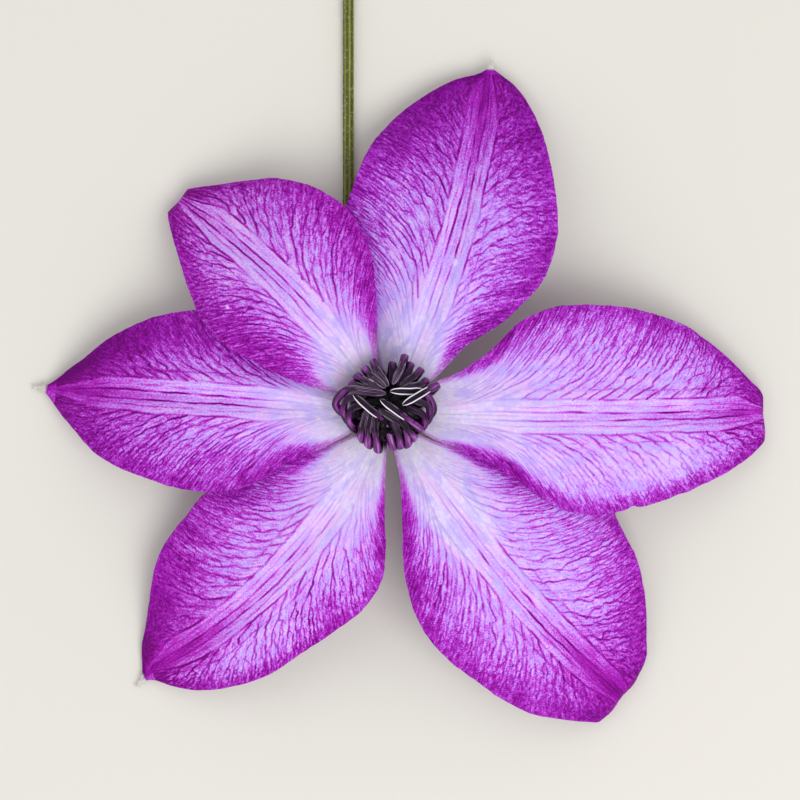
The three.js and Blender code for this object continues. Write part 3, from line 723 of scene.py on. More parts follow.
def grow_side_veins(rng, first, last, spacing):
    """Side veins as (label, share of the way out, strength, width) rows. They fork on their way."""
    veins = []

    def branch(label, start, share, strength, width, forks, from_label):
        # one stretch from start outwards, until it forks or ends just past the margin
        stops = [rng.uniform(*between) for between in FORK_PLACES] + [VEINS_END]
        stop = min(max(stops[min(forks, 3)], start + rng.uniform(0.08, 0.2)), VEINS_END)
        count = max(int((stop - start) / VEIN_STEP), 4)
        outward = np.linspace(start, stop, count)
        settle = rise(outward, start, start + rng.uniform(0.08, 0.2))
        path = from_label + (label - from_label) * settle
        path = path + share * 0.2 * wander(rng, count, max(int(count / 5), 2))
        path = path + 0.1 * wander(rng, count, max(int(count / 2.5), 3))
        fade = 1 - rise(outward, rng.uniform(0.8, 1.0), 1.08) if stop > 1.0 else 1.0
        strong = strength * fade * (0.74 + 0.42 * wander(rng, count, max(int(count / 4), 3)))
        veins.append(np.stack([path, outward, strong, np.full(count, width)], 1))
        if stop >= 1.0 or forks >= 4:
            return
        split = rng.uniform(0.3, 0.7)
        for sign, part in ((-1, split), (1, 1 - split)):
            if forks >= 2 and rng.random() < 0.2:
                continue
            aside = label + sign * share * (1 - part) * 0.5
            weaker = strength * rng.uniform(0.75, 1.0)
            thinner = width * rng.uniform(0.86, 0.98)
            branch(aside, stop, share * part, weaker, thinner, forks + 1, path[-1])

    label = first
    while label < last:
        share = spacing * rng.uniform(0.7, 1.35)
        strength = rng.uniform(0.65, 1.0)
        branch(label + share / 2, 0.0, share, strength, SIDE_VEIN_WIDTH, 0, label + share * 0.35)
        label += share
    return veins


def vein_marks(tepal, q, u, half_width, seed):
    """How strongly the veins, and the short streaks between them, mark the face's grid points."""
    rng = np.random.default_rng(seed)
    outline = tepal["outline"]
    blade_last = outline[-3][0]
    rows = q[:, 0]
    row_step = rows[1] - rows[0]
    middle = FACE_COLUMNS // 2
    veins, streaks = [], []

    def outward_place(sample_q, outward, column):
        width_there = along(outline, sample_q, column)
        spread_there = rib_spread(sample_q, width_there)
        return spread_there + outward * (width_there - spread_there)

    for sign, column, lean in ((1, 1, tepal["lean"][0]), (-1, 2, tepal["lean"][1])):
        # long ribs, nearly parallel, that come and go
        run = np.arange(TEPAL_ROOT_REACH, blade_last, 0.05)
        spread = rib_spread(run, along(outline, run, column))
        for share, strong, thick in LONG_RIBS:
            count = len(run)
            waver = 0.05 * wander(rng, count, 50) + 0.16 * wander(rng, count, 9)
            b = np.maximum(spread * share + waver, 0.02)
            strong = strong * (0.3 + 0.7 * rise(run, 6, 20)) * (0.62 + 0.45 * wander(rng, count, 24))
            strong = np.maximum(strong, 0.05)
            veins.append([run, b, strong, np.full(count, thick), np.full(count, sign)])
        first_label = TEPAL_ROOT_REACH - 1.2 * lean
        for vein in grow_side_veins(rng, first_label, blade_last - 3, SIDE_VEIN_SPACING):
            label, outward, strong, thick = vein.T
            sample_q = vein_place(label, outward, lean)
            good = (sample_q > TEPAL_ROOT_REACH) & (sample_q < blade_last)
            if good.sum() < 3:
                continue
            sample_q, outward, strong, thick = (v[good] for v in (sample_q, outward, strong, thick))
            b = outward_place(sample_q, outward, column)
            length = np.concatenate([[0], np.cumsum(np.hypot(np.diff(sample_q), np.diff(b)))])
            even = np.linspace(0, length[-1], max(int(length[-1] / 0.06), 3))
            line = (sample_q, b, strong, thick)
            sample_q, b, strong, thick = (np.interp(even, length, v) for v in line)
            strong = strong * (0.35 + 0.65 * rise(sample_q, 5, 16))
            veins.append([sample_q, b, strong, thick, np.full(len(b), sign)])
        # short broken streaks between the veins
        count = STREAK_COUNT
        part = np.linspace(0, 1, 12)
        label = rng.uniform(first_label, blade_last, (count, 1))
        start = rng.uniform(0, 0.98, (count, 1))
        outward = np.minimum(start + rng.uniform(0.02, 0.1, (count, 1)) * part, 1)
        sample_q = vein_place(label, outward, lean) + rng.normal(0, 0.2, (count, 1)) * part
        strong = rng.uniform(0.1, 1, (count, 1)) ** 1.6 * np.sin(math.pi * part) ** 0.5
        good = (sample_q > TEPAL_ROOT_REACH) & (sample_q < blade_last)
        sample_q, outward, strong = sample_q[good], outward[good], strong[good]
        b = outward_place(sample_q, outward, column)
        streaks.append([sample_q, b, strong, np.full(len(b), STREAK_WIDTH), np.full(len(b), sign)])

    def press(lines):
        # each point of a line darkens the few grid points round it
        sample_q, sample_b, strength, width, sign = (np.concatenate(v) for v in zip(*lines))
        into = np.zeros(q.shape)
        i0 = np.round((sample_q - rows[0]) / row_step).astype(int)
        width_here = half_widths(outline, sample_q, sign)
        j0 = np.round(middle + sign * sample_b * middle / width_here).astype(int)
        for di, dj in itertools.product(range(-2, 3), range(-3, 4)):
            i, j = i0 + di, j0 + dj
            good = (i >= 0) & (i < q.shape[0]) & (j >= 0) & (j < q.shape[1])
            ii, jj = i[good], j[good]
            across = u[ii, jj] * half_width[ii, jj] * sign[good] - sample_b[good]
            gap = (q[ii, jj] - sample_q[good]) ** 2 + across**2
            mark = np.minimum(1.5 * np.exp(-gap / width[good] ** 2), 1)
            np.maximum.at(into, (ii, jj), strength[good] * mark)
        return into

    return press(veins), press(streaks)


def tepal_object(tepal, seed):
    """One blade: a fine upper face with its veins, a plainer lower face and a rim between them."""
    outline = tepal["outline"]
    blade_last = outline[-3][0]
    q = np.linspace(TEPAL_ROOT_REACH, outline[-1][0], FACE_ROWS + 1)[:, None]
    u = np.linspace(-1, 1, FACE_COLUMNS + 1)[None, :]
    q, u = np.broadcast_arrays(q, u)
    half_width = np.maximum(half_widths(outline, q, u), 0.2)
    half_width = half_width * (1 - 0.6 * rise(q, outline[-2][0], outline[-1][0]))
    vein, streak = vein_marks(tepal, q, u, half_width, seed)

    # the margins are never quite even
    rng = np.random.default_rng(seed + 50)
    full = rise(half_width, 1, 6)
    frayed = [
        sum(depth * wander(rng, FACE_ROWS + 1, waves) for depth, waves in FRAYING) for _ in (0, 1)
    ]
    frayed = np.where(u > 0, frayed[0][:, None], frayed[1][:, None]) * full
    for sign, place, depth, length in tepal.get("nicks", ()):
        dent = depth * np.exp(-(((q - place) / length) ** 2))
        frayed = frayed - np.where(u * sign > 0, dent, 0)
    middle = blade(tepal, q, u, half_width + frayed * np.abs(u) ** 4)
    normal = surface_normals(middle)
    margin = half_width * (1 - np.abs(u))
    thickness = MARGIN_THICKNESS + (BLADE_THICKNESS - MARGIN_THICKNESS) * rise(margin, 0, 2)
    relief = -0.05 * vein - 0.015 * streak
    upper = middle + normal * UPPER_FACE
    upper[..., 2] = np.maximum(upper[..., 2], 2 * UPPER_FACE)
    lower = upper - normal * thickness[..., None]
    upper = upper + normal * relief[..., None]
    lower[..., 2] = np.maximum(lower[..., 2], 0)

    # where the pigment lies, with painted shade and painted highlights mixed into it
    share = np.clip((q - TEPAL_ROOT_REACH) / (blade_last - TEPAL_ROOT_REACH), 0, 1)
    out = np.abs(u)
    ground, tip, tip_from = tepal["ground"], tepal["tip"], tepal["tip_from"]
    sides = np.where(u > 0, *tepal["sides"])
    pigment = (
        0.02
        + (ground - 0.02) * rise(share, 0.02, 0.5)
        + (tip - ground) * rise(share, tip_from, 0.98)
        + sides * rise(out, 0.15, 0.75) * rise(share, 0.08, 0.31)
        + 0.08 * rise(out, 0.3, 0.8) * rise(share, 0.1, 0.3)
        + 0.1 * np.exp(-((out * half_width / 0.42) ** 2)) * rise(share, 0.25, 0.5)
        + tepal["centre"] * np.exp(-((out * half_width / 2.4) ** 2)) * rise(share, 0.45, 0.85)
        + np.where(u > 0, *tepal["tip_sides"]) * rise(out, 0.1, 0.6) * rise(share, 0.5, 0.8)
    )
    # painted highlights: each line makes the blade paler where a rib bulge or a fold catches the
    # light
    for q0, b0, q1, b1, width, amount in tepal.get("painted_highlights", ()):
        run_q, run_b = q1 - q0, b1 - b0
        beside = (q - q0) * run_q + (u * half_width - b0) * run_b
        s = np.clip(beside / (run_q**2 + run_b**2), 0, 1)
        gap = np.hypot(q - q0 - s * run_q, u * half_width - b0 - s * run_b)
        added = amount * np.exp(-((gap / width) ** 2))
        pigment = pigment + added * (1 - rise(s, 0.6, 1)) * rise(s, 0, 0.3)
    band = 0.7 + (0.3 + np.where(u > 0, *tepal["margins"])) * rise(share, 0.04, 0.28)
    at_margin = (1 - rise(margin, 0, band)) * (0.62 + 0.23 * rise(share, 0.05, 0.3))
    pigment += (np.maximum(0.74, pigment) - pigment) * at_margin
    # directions for what runs along the veins
    lean = np.where(u > 0, *tepal["lean"])
    b = np.abs(u) * half_width
    spread = rib_spread(q, half_width)
    outward = np.clip((b - spread) / np.maximum(half_width - spread, 0.01), 0, 1)
    outside = b > spread
    grain = np.stack(
        [
            np.where(outside, vein_label(q, outward, lean), 60 + b * 1.6),
            np.where(outside, outward * 12, q * 0.7),
            np.sign(u) * 20 + seed * 40,
        ],
        -1,
    )
    place = np.stack([q, u * half_width, half_width], -1)
    point = rise(q, outline[-2][0] - 0.5, outline[-2][0] + 0.3)
    # painted shade: the root of each blade, in the shade of the stamens, is drawn dark purple
    rooted = 1 - rise(q, 3.8, 5)

    rows, columns = FACE_ROWS // 4, FACE_COLUMNS // 4
    vertices = np.vstack([upper.reshape(-1, 3), lower[::4, ::4].reshape(-1, 3)])
    top = np.arange((FACE_ROWS + 1) * (FACE_COLUMNS + 1)).reshape(FACE_ROWS + 1, FACE_COLUMNS + 1)
    under = top.size + np.arange((rows + 1) * (columns + 1)).reshape(rows + 1, columns + 1)
    upside, underside = (
        [at[:-1, :-1], at[1:, :-1], at[1:, 1:], at[:-1, 1:]] for at in (top, under)
    )
    faces = np.stack(upside, -1).reshape(-1, 4).tolist()
    faces += np.stack([underside[0], *underside[:0:-1]], -1).reshape(-1, 4).tolist()
    upper_count, lower_count = FACE_ROWS * FACE_COLUMNS, rows * columns
    for k in range(rows):
        here = slice(4 * k, 4 * k + 5)
        faces.append([*top[here, -1], under[k + 1, -1], under[k, -1]])
        faces.append([*top[here, 0][::-1], under[k, 0], under[k + 1, 0]])
    for k in range(columns):
        here = slice(4 * k, 4 * k + 5)
        faces.append([*top[0, here], under[0, k + 1], under[0, k]])
        faces.append([*top[-1, here][::-1], under[-1, k], under[-1, k + 1]])
    mesh = bpy.data.meshes.new(tepal["name"] + "_blade")
    mesh.from_pydata(placed(vertices), [], [list(map(int, f)) for f in faces])
    marks = {"vein": vein, "streak": streak, "pigment": pigment, "point": point, "rooted": rooted}
    marks = {key: np.concatenate([v.ravel(), v[::4, ::4].ravel()]) for key, v in marks.items()}
    for key, v in (("grain", grain), ("place", place)):
        marks[key] = np.vstack([v.reshape(-1, 3), v[::4, ::4].reshape(-1, 3)])
    tell(mesh, marks)
    slots = np.zeros(len(faces), np.int32)
    slots[upper_count : upper_count + lower_count] = 1
    mesh.polygons.foreach_set("material_index", slots)
    mesh.shade_smooth()
    return put(mesh.name, mesh)


SILKY_WHITE = "#e9e4ec"
VIOLETS = ("#dfd2fb", "#d3bdf9", "#c79ef5", "#bd7aee", "#b04ad4", "#9e24b6", "#860d98", "#62046c")
ROSY_ONES = ("#e6d8f6", "#debff4", "#d69af2", "#ce72ea", "#c246d0", "#ac20b4", "#920a96", "#6c036e")
PIGMENT_STEPS = (0.0, 0.15, 0.3, 0.45, 0.6, 0.75, 0.88, 1.0)


def tepal_finish(tepal):
    """The upper face: pigment and painted shade over a pale ground, from nearly white through violet
    to purple.
    """
    face = Finish(tepal["name"] + "_face", Specular_IOR_Level=0.06)
    grain = face.told("grain", "Vector")
    fibre = face.noise(grain.stretched([3.4, 0.6, 1]), 3.0).step(0.32, 0.68)
    fleck = face.noise(grain.stretched([9, 5, 1]), 1.0).step(0.3, 0.7)
    cells = face.grain([5000] * 3, 1.0).step(0.3, 0.7)
    cloud = face.grain([240] * 3, 2.0)
    pigment = face.told("pigment")
    vein = face.told("vein")
    streak = face.told("streak")
    gathered = pigment.step(0.06, 0.42)
    calm = 1 - pigment.step(0.6, 1.0) * 0.5
    mottling = ((fibre - 0.5) * 0.2 + (fleck - 0.5) * 0.2 + (cells - 0.5) * 0.2) * calm
    lamina = pigment - 0.09 + streak * 0.36 * gathered * calm
    lamina = lamina + mottling * (gathered * 0.85 + 0.15) + (cloud - 0.5) * 0.2
    marked = vein * (0.24 + gathered * 0.62) * (1 - pigment.step(0.5, 0.95) * 0.55)
    depth = lamina + (1.2 - lamina) * marked
    violet, warm = (face.ramp(depth, list(zip(PIGMENT_STEPS, c))) for c in (VIOLETS, ROSY_ONES))
    place = face.told("place", "Vector")
    across = place.part(1).maths("ABSOLUTE")
    drift = face.noise(place.stretched([0.16, 0.75, 0.4], [tepal["root_bearing"], 0, 0]), 3.0)
    patches = face.grain([1700] * 3, 4.0).step(0.35, 0.65)
    rosy = (1 - across.step(0.8, 4.5)) * 0.3 + (patches - 0.5) * 0.5 + tepal["rosy"]
    colour = face.mix(rosy.maths("MINIMUM", 1).maths("MAXIMUM", 0), violet, warm)
    colour = face.mix((1 - patches) * (1 - depth.step(0.3, 0.7)) * 0.35, colour, "#bfaef4")
    pale = 1 - depth.step(0.25, 0.6)
    colour = face.mix(drift.step(0.5, 0.64) * pale * 0.5, colour, "#b4a2f4")
    colour = face.mix((1 - drift.step(0.36, 0.48)) * pale * 0.4, colour, "#e6b6f0")
    colour = face.mix((1 - place.part(0).step(5, 10)) * 0.3, colour, "#dde4d4")
    colour = face.mix(vein * (1 - gathered) * 0.4, colour, "#9878c4")
    # painted shade at the roots, under the stamens
    colour = face.mix(face.told("rooted"), colour, "#260a2c")
    colour = face.mix(face.told("point").step(0.2, 0.9), colour, SILKY_WHITE)
    height = vein * -0.6 + streak * -0.25 + fibre * 0.5 + fleck * 0.4
    normal = face.bump(height, 0.00006, 0.5)
    return face.feed(Base_Color=colour, Roughness=0.5 + fleck * 0.12, Normal=normal)


# The lower face is duller and paler, with three raised ribs and down on them.
under_face = Finish("tepal_underside", Specular_IOR_Level=0.25, Sheen_Weight=0.15)
across = under_face.told("place", "Vector").part(1).maths("ABSOLUTE")
bar = 1 - (across - 1.7).maths("ABSOLUTE").step(0.1, 0.7)
mid_bar = 1 - across.step(0.1, 0.8)
fibre = under_face.noise(under_face.told("grain", "Vector").stretched([2.6, 0.5, 1]), 3.0)
dull = under_face.ramp(
    under_face.told("pigment") * 0.7 + (fibre - 0.5) * 0.4 + 0.05,
    [(0.0, "#ded3e4"), (0.3, "#c7a4d8"), (0.55, "#a566bb"), (0.85, "#832c96")],
)
dull = under_face.mix((bar + mid_bar).maths("MINIMUM", 1) * 0.7, dull, "#b9a9a4")
dull = under_face.mix(under_face.told("point").step(0.2, 0.9), dull, SILKY_WHITE)
under_face.feed(
    Base_Color=dull,
    Roughness=0.6 + fibre * 0.15,
    Normal=under_face.bump(bar + mid_bar + fibre * 0.3, 0.0002, 0.6),
)

for number, tepal in enumerate(TEPALS):
    piece = tepal_object(tepal, number + 1)
    piece.data.materials.append(tepal_finish(tepal))
    piece.data.materials.append(under_face.material)
    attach(piece, "root")
    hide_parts(tepal["name"])
    form = {"Where": "point", "Per_square_metre": 8e7, "Length": 0.0006, "Radius": 0.00002}
    silk = hair_tree.grow(
        piece, tepal["name"] + "_silk", **form, Lean=0.8, Seed=number, Finish=white_hair
    )
    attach(silk, "root")

# ---- Stamens -----------------------------------------------------------------------------------
# Each stamen is one flat strap: a glossy purple filament that curls up and over, and a slate-dark
# anther along its end, edged on a few by pale seams where the pollen sacs meet. Their roots have
# grown together in a ring on the disc.

COLLAR_INNER = 2.0
COLLAR_OUTER = 3.15
COLLAR_BOTTOM = 11.15
COLLAR_TOP = 12.2
FOOT_HEIGHT, BOW_HEIGHT, OVER_HEIGHT = 12.9, 14.6, 16.2
STAMEN_POINTS = 49

# Where each stamen rises from the ring, where it bows out furthest, where it has turned over and
# where its tip lies, how high the tip is, how wide the anther is, how pale the seams along its
# right and its left edge are, and how pale the lines between them are.
STAMENS = [
    ((0.5, -3.3), (0.7, -4.4), (-0.5, -1.1), (-4.2, 2.2), 18.3, 0.95, (1.0, 0.3), 0.0),
    ((3.2, -2.2), (4.1, -2.2), (2.9, -1.2), (-0.9, 1.6), 18.5, 0.95, (1.0, 0.3), 0.0),
    ((1.9, -3.1), (2.5, -4.1), (2.0, -1.6), (-1.1, 0.4), 17.6, 0.95, (0.25, 0.25), 0.4),
    ((4.5, -0.9), (5.6, 0.4), (4.3, 2.5), (0.3, 2.6), 17.9, 0.95, (1.0, 1.0), 0.0),
    ((4.7, 2.1), (6.1, 3.3), (5.2, 2.9), (1.8, 0.9), 18.6, 0.95, (1.0, 1.0), 0.0),
    ((-4.6, -0.6), (-6.4, 1.0), (-4.9, 2.8), (-0.2, 2.3), 18.1, 1.1, (0.15, 0.15), 0.9),
    ((1.6, 5.0), (2.1, 6.9), (1.6, 5.4), (0.6, 3.4), 17.8, 0.95, (0.3, 0.3), 0.9),
    ((0.4, 4.4), (0.6, 6.0), (0.7, 4.9), (0.7, 3.4), 17.0, 1.15, (0.0, 0.0), 0.1),
    ((2.1, 4.6), (2.9, 5.9), (2.3, 4.6), (1.2, 3.2), 17.1, 1.0, (0.0, 0.0), 0.1),
    ((3.1, 4.0), (4.1, 5.2), (3.2, 4.4), (1.5, 3.2), 17.5, 0.95, (0.15, 0.15), 0.3),
    ((3.7, 3.0), (4.8, 3.9), (4.0, 3.4), (1.6, 2.9), 17.0, 0.95, (0.25, 0.25), 0.4),
    ((-1.1, 4.6), (-1.8, 6.3), (-1.2, 5.0), (0.1, 3.2), 17.7, 0.95, (0.3, 0.3), 1.0),
    ((-1.9, 4.0), (-2.9, 5.4), (-2.0, 4.5), (-0.2, 3.0), 17.9, 0.95, (0.3, 0.3), 1.0),
    ((-2.6, 3.4), (-3.9, 4.5), (-2.8, 3.9), (-0.6, 2.8), 17.5, 0.95, (0.7, 0.3), 1.0),
    ((-3.1, 2.6), (-4.5, 3.6), (-3.6, 3.2), (-1.4, 2.4), 17.1, 0.95, (0.2, 0.2), 0.6),
    ((-4.2, -1.6), (-5.4, 0.0), (-4.9, 1.7), (-2.6, 2.0), 16.8, 0.9, (0.1, 0.1), 0.1),
    ((-3.4, -2.4), (-4.7, -1.2), (-4.3, 0.5), (-2.2, 1.3), 16.6, 0.9, (0.1, 0.1), 0.1),
    ((-2.5, -2.7), (-3.3, -3.4), (-3.1, -1.8), (-2.5, 0.5), 17.2, 0.9, (0.2, 0.2), 0.5),
    ((-1.9, -3.2), (-2.4, -4.2), (-2.4, -2.2), (-2.0, 0.4), 17.0, 0.9, (0.1, 0.1), 0.5),
    ((-1.0, -3.6), (-1.2, -4.8), (-1.5, -2.6), (-1.6, 0.1), 16.9, 0.9, (0.1, 0.1), 0.3),
    ((1.3, -3.2), (1.6, -4.3), (1.2, -2.4), (0.4, -0.6), 17.0, 0.9, (0.0, 0.0), 0.3),
    ((2.6, -2.7), (3.3, -3.3), (2.6, -2.2), (1.0, -0.2), 16.9, 0.9, (0.0, 0.0), 0.2),
    ((4.0, -1.6), (5.1, -0.6), (4.8, 0.9), (2.7, 1.7), 16.9, 0.9, (0.1, 0.1), 0.2),
    ((3.6, -2.1), (4.5, -1.5), (4.2, -0.2), (2.3, 0.7), 16.6, 0.9, (0.0, 0.0), 0.2),
]
OUTER_COUNT = len(STAMENS)
# Inside them stand two closer rings: how many, how far from the axis they bow out and where their
# tips lie, and how high the tips are.
for count, bow_reach, tip_reach, height in ((12, 3.8, 0.5, 16.3), (16, 4.7, 2.7, 15.5)):
    for k in range(count):
        angle = (k + 0.5) * 2 * math.pi / count
        uneven = math.sin(k * 2.4)
        bow, aside = bow_reach + 0.3 * uneven, angle + 0.4 * uneven
        bow *= 1 - 0.25 * max(-math.sin(angle), 0)
        dir_x, dir_y = bow * math.cos(angle), bow * math.sin(angle)
        foot, over = (0.82 * dir_x, 0.82 * dir_y + 0.25), (0.82 * dir_x, 0.82 * dir_y + 0.55)
        tip = (tip_reach * math.cos(aside), tip_reach * math.sin(aside) + 0.9)
        form = (height + 0.25 * uneven, 0.95, (0.0, 0.0), 0.0)
        STAMENS.append((foot, (dir_x, dir_y + 0.45), over, tip, *form))


def stamen_line(foot, bow, over, tip, height):
    """Out of the ring, up round the bow and over to the tip, as evenly spaced points."""
    root = 0.5 * (COLLAR_INNER + COLLAR_OUTER) / math.hypot(*foot)
    inwards = [0.55 * a + 0.45 * b for a, b in zip(over, tip)]
    line = smooth_line(
        [
            [root * foot[0], root * foot[1], COLLAR_TOP - 0.5],
            [*foot, FOOT_HEIGHT],
            [*bow, BOW_HEIGHT],
            [*over, OVER_HEIGHT],
            [*inwards, 0.35 * OVER_HEIGHT + 0.65 * height + 0.15],
            [*tip, height],
        ],
        12,
    )
    gone = np.concatenate([[0], np.cumsum(np.linalg.norm(np.diff(line, axis=0), axis=1))])
    even = np.linspace(0, gone[-1], STAMEN_POINTS)
    return np.stack([np.interp(even, gone, line[:, k]) for k in range(3)], 1)


# Sweeps a strap along each strand, its flat side facing the way the strand says. Its section is an
# ellipse, or a bar with a hollow face where Hollow is above 0.
strap_tree = Growth("flat_strap", Flatness="Float", Hollow="Float", Sides="Int", Finish="Material")
size = {"Resolution": strap_tree.given("Sides"), "Radius": 1.0}
circle = strap_tree.node("GeometryNodeCurvePrimitiveCircle", values=size)
spot = strap_tree.node("GeometryNodeInputPosition")
across, up = (strap_tree.node("ShaderNodeSeparateXYZ", values={0: spot}, out=k) for k in (0, 1))
filled = strap_tree.maths("SUBTRACT", strap_tree.maths("MULTIPLY", across, across), 0.5)
bulge = strap_tree.maths("MULTIPLY_ADD", filled, strap_tree.given("Hollow"), 1.0)
thick = strap_tree.maths("MULTIPLY", up, bulge)
thick = strap_tree.maths("MULTIPLY", thick, strap_tree.given("Flatness"))
flat = strap_tree.node("ShaderNodeCombineXYZ", values={"X": across, "Y": thick})
flattened = {"Geometry": circle, "Position": flat}
strap_tree.sweep(strap_tree.node("GeometryNodeSetPosition", values=flattened), "across", across)


def lengthwise(finish, *scales):
    """Noise drawn out along each strap."""
    parts = [finish.told(name) for name in ("across", "gone", "number")]
    parts = {k: part * scale for k, (part, scale) in enumerate(zip(parts, (*scales, 9)))}
    return finish.noise(finish.node("ShaderNodeCombineXYZ", values=parts), 2.0)


filament_gloss = Finish(
    "filament_gloss", Roughness=0.36, Specular_IOR_Level=0.2, Coat_Roughness=0.22
)
shade = lengthwise(filament_gloss, 2.0, 0.5).step(0.3, 0.7)
# painted shade: each strap is drawn darker towards its edges, so that it reads as rounded
edge_shade = filament_gloss.told("across").maths("ABSOLUTE").step(0.35, 1.0)
# painted light: each strap is drawn lighter where it bows out at the knee, and the same value weights
# the coat there
knee = filament_gloss.told("knee")
purple = filament_gloss.ramp(
    knee * 0.5 + shade * 0.42 - edge_shade * 0.42 - 0.02,
    [(0.0, "#0c020b"), (0.2, "#1e051c"), (0.45, "#420846"), (0.7, "#761c80"), (1.0, "#b870c4")],
)
filament_gloss.feed(
    Base_Color=purple,
    Coat_Weight=knee * 0.55,
    Normal=filament_gloss.bump(shade, 0.00008, 0.5),
)

anther_slate = Finish("anther_slate", Roughness=0.5, Specular_IOR_Level=0.1)
across = anther_slate.told("across")
left_side = across.step(-0.1, 0.1)
seam_left, seam_right = anther_slate.told("seam_left"), anther_slate.told("seam_right")
seam = seam_left * left_side + seam_right * (1 - left_side)
off_seam = (across.maths("ABSOLUTE") - 0.76).maths("ABSOLUTE")
seam_line = (1 - off_seam.step(0.07, 0.22)) * seam
broken = lengthwise(anther_slate, 1.0, 0.9).step(0.35, 0.6)
ripple = (across * 9.5 + anther_slate.told("number")).maths("COSINE").maths("ABSOLUTE")
streaks = lengthwise(anther_slate, 4.0, 0.25).step(0.3, 0.7)
lines = anther_slate.told("lines")
line_share = (1 - ripple.step(0.1, 0.65)) * streaks * lines
# painted shade: the anthers of the inner rings are drawn darker, as in the shade inside the crowd of
# stamens
slate = anther_slate.ramp(
    streaks * 0.6 + lines * 0.2 - anther_slate.told("deep") * 0.5,
    [(0.0, "#0c0410"), (0.4, "#1e0824"), (0.7, "#3a1442"), (1.0, "#66386c")],
)
slate = anther_slate.mix((seam_left + seam_right).step(0.9, 1.9) * 0.75, slate, "#1d1428")
slate = anther_slate.mix(line_share * 0.8, slate, "#c6b0cc")
seam_share = seam_line * (broken * 0.6 + seam.step(0.7, 1.0)).maths("MINIMUM", 1)
slate = anther_slate.mix(seam_share, slate, "#f2ecf6")
anther_slate.feed(Base_Color=slate, Normal=anther_slate.bump(streaks - line_share, 0.00006, 0.5))


def add_strand(strands, known, strand, **of_each):
    """Adds a strand and what holds for its points: a value for every point, or one for all."""
    strands.append(strand)
    for key, value in of_each.items():
        value = np.asarray(value, float)
        known.setdefault(key, []).extend(value if value.ndim else [float(value)] * len(strand))


# the ring of roots, closed on itself
turns = np.linspace(0, 2 * math.pi, 61)
outwards = np.stack([np.cos(turns), np.sin(turns), 0 * turns], 1)
ring = 0.5 * (COLLAR_INNER + COLLAR_OUTER) * outwards + [0, 0, 0.5 * (COLLAR_BOTTOM + COLLAR_TOP)]
ring_width = 0.5 * (COLLAR_OUTER - COLLAR_INNER) / 1000
filament_lines, filaments, anther_lines, anthers = [], {}, [], {}
add_strand(
    filament_lines, filaments, ring, side=outwards, width=ring_width, knee=0, gone=turns * 6, number=0
)
STEM, SAC = slice(0, 36), slice(29, STAMEN_POINTS)  # the points of a filament and of its anther
part = np.linspace(0, 1, STAMEN_POINTS - SAC.start)
anther_width = np.interp(part, [0, 0.08, 0.3, 0.75, 0.92, 1], [0.55, 0.85, 1, 1, 0.7, 0.2])
for number, (foot, bow, over, tip, height, breadth, seams, paler) in enumerate(STAMENS):
    line = stamen_line(foot, bow, over, tip, height)
    s = np.linspace(0, 1, len(line))
    sides = carried_sides(line, [-foot[1], foot[0], 0], 0.3 * rise(s, 0.2, 0.4))
    # painted light at the knee, fading towards the anther
    knee = rise(line[:, 2], 12.6, 14.2) * (1 - 0.7 * rise(s, 0.55, 0.7))
    outer = number < OUTER_COUNT
    add_strand(
        filament_lines,
        filaments,
        line[STEM],
        side=sides[STEM],
        width=np.interp(s, [0, 0.3, 0.55, 0.74], [0.45, 0.54, 0.5, 0.3])[STEM] / 1000,
        # painted shade: the inner rings' filaments get hardly any painted light at the knee
        knee=knee[STEM] * (1 if outer else 0.1),
        gone=s[STEM] * 10,
        number=number + 1.0,
    )
    add_strand(
        anther_lines,
        anthers,
        line[SAC] + [0, 0, 0.06],
        side=sides[SAC],
        width=anther_width * breadth / 2000,
        gone=s[SAC] * 10,
        number=number * 1.7,
        seam_right=seams[0],
        seam_left=seams[1],
        lines=paler,
        # painted shade on the inner rings' anthers
        deep=0.0 if outer else 1.0,
    )

for name, lines, values, flatness, hollow, finish in (
    ("stamen_filaments", filament_lines, filaments, 0.6, 0.0, filament_gloss),
    ("stamen_anthers", anther_lines, anthers, 0.42, 0.9, anther_slate),
):
    strand = strand_object(name + "_strands", lines, values)
    form = {"Flatness": flatness, "Hollow": hollow, "Sides": 18, "Finish": finish.material}
    straps = strap_tree.grow(strand, name, **form)
    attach(straps, "root")
    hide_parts("stamens")
    bpy.data.objects.remove(strand)

# ---- Carpels -----------------------------------------------------------------------------------
# A tuft of slender greenish carpels, each a small seed vessel drawn out into a silky style. They
# stand in a spiral on a low cushion in the middle of the disc.

CARPEL_COUNT = 14
CARPEL_FOOT = 11.9
CARPEL_TOP = 15.6
GOLDEN_ANGLE = math.pi * (3 - math.sqrt(5))

lines, values = [], {}
for k in range(CARPEL_COUNT):
    out = math.sqrt((k + 0.5) / CARPEL_COUNT)
    dir_x, dir_y = math.cos(k * GOLDEN_ANGLE), math.sin(k * GOLDEN_ANGLE)
    heights = ((1.05, CARPEL_FOOT + 0.3), (1.35, CARPEL_FOOT + 2.2), (1.1, CARPEL_TOP - 0.7 * out))
    line = smooth_line([[r * out * dir_x, r * out * dir_y, z] for r, z in heights], 9)
    s = np.linspace(0, 1, len(line))
    width = np.interp(s, [0, 0.3, 0.55, 0.85, 1], [0.34, 0.44, 0.36, 0.24, 0.1]) / 1000
    sides = carried_sides(line, [-dir_y, dir_x, 0])
    add_strand(lines, values, line, side=sides, width=width, height=s)
line = np.array([[0, 0, z] for z in np.linspace(CARPEL_FOOT, CARPEL_FOOT + 1.7, 14)])
s = np.linspace(0, 1, len(line))
width = 1.5 * np.sqrt(np.maximum(1 - s**3, 0.01)) / 1000
add_strand(lines, values, line, side=[[1, 0, 0]] * len(line), width=width, height=s * 0.3)
strand = strand_object("carpel_strands", lines, values)

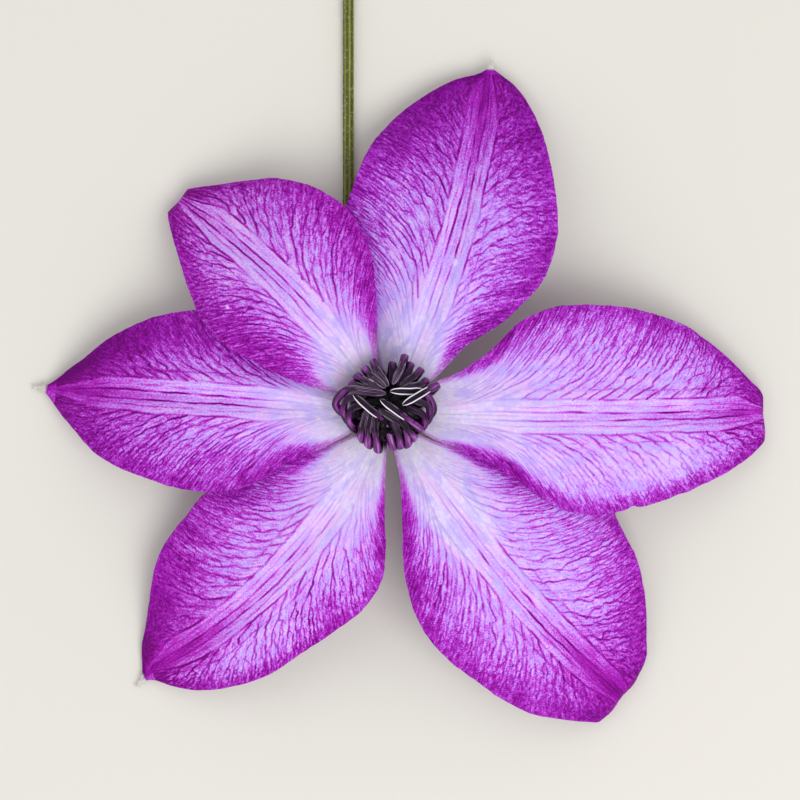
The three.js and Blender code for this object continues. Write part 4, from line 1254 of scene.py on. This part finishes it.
shaded_carpel_silk = Finish("carpel_silk", Roughness=0.6, Sheen_Weight=0.4)
streaky = shaded_carpel_silk.grain([2600, 2600, 500], 3.0)
# painted shade: the greenish carpels are drawn dark brown, darkest at their foot, as in the shade
# under the stamens
green = shaded_carpel_silk.ramp(
    shaded_carpel_silk.told("height") * 0.6 + streaky * 0.5,
    [(0.2, "#241c18"), (0.6, "#4a4030"), (1.0, "#7c6c62")],
)
shaded_carpel_silk.feed(Base_Color=green, Normal=shaded_carpel_silk.bump(streaky, 0.00008, 0.7))
form = {"Ridges": 5, "Ridge_height": 0.06, "Sides": 16, "Finish": shaded_carpel_silk.material}
carpels = stem_tree.grow(strand, "carpel_tuft", **form)
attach(carpels, "root")
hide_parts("carpels")
bpy.data.objects.remove(strand)

# ---- Table, light and camera -------------------------------------------------------------------
# A plain pale table top, a large soft light from the lower right, a fainter one across from it, and
# a camera straight above the flower.

CAMERA_HEIGHT = 0.506
CAMERA_AIM = (1.5, 1.5)  # millimetres from the flower's axis

mesh = bpy.data.meshes.new("table_top")
mesh.from_pydata([(-2, -2, 0), (2, -2, 0), (2, 2, 0), (-2, 2, 0)], [], [(0, 1, 2, 3)])
floor = put("table_top", mesh)
matte = Finish("table_matte", Base_Color="#dedbd4", Roughness=0.9, Specular_IOR_Level=0.1)
mesh.materials.append(matte.material)


def soft_light(name, place, size, power):
    lamp = bpy.data.lights.new(name, "AREA")
    lamp.energy, lamp.size = power, size
    holder = put(name, lamp)
    holder.location = place
    holder.rotation_euler = (-holder.location).to_track_quat("-Z", "Y").to_euler()


soft_light("key_light", (0.17, -0.24, 0.52), 0.4, 1.75)
soft_light("fill_light", (-0.35, 0.2, 0.5), 0.6, 0.4)
world = bpy.data.worlds.new("studio")
world.use_nodes = True
background = world.node_tree.nodes["Background"].inputs
background["Color"].default_value = (1, 1, 1, 1)
background["Strength"].default_value = 0.7
bpy.context.scene.world = world
bpy.context.scene.view_settings.view_transform = "Standard"

camera_data = bpy.data.cameras.new("camera")
camera_data.sensor_width = 36
camera_data.lens = 180  # a field of 100 mm at the height of the tepals
camera_data.clip_start = 0.01
camera = put("camera", camera_data)
camera.location = (*placed([*CAMERA_AIM, 0])[:2], CAMERA_HEIGHT)
bpy.context.scene.camera = camera
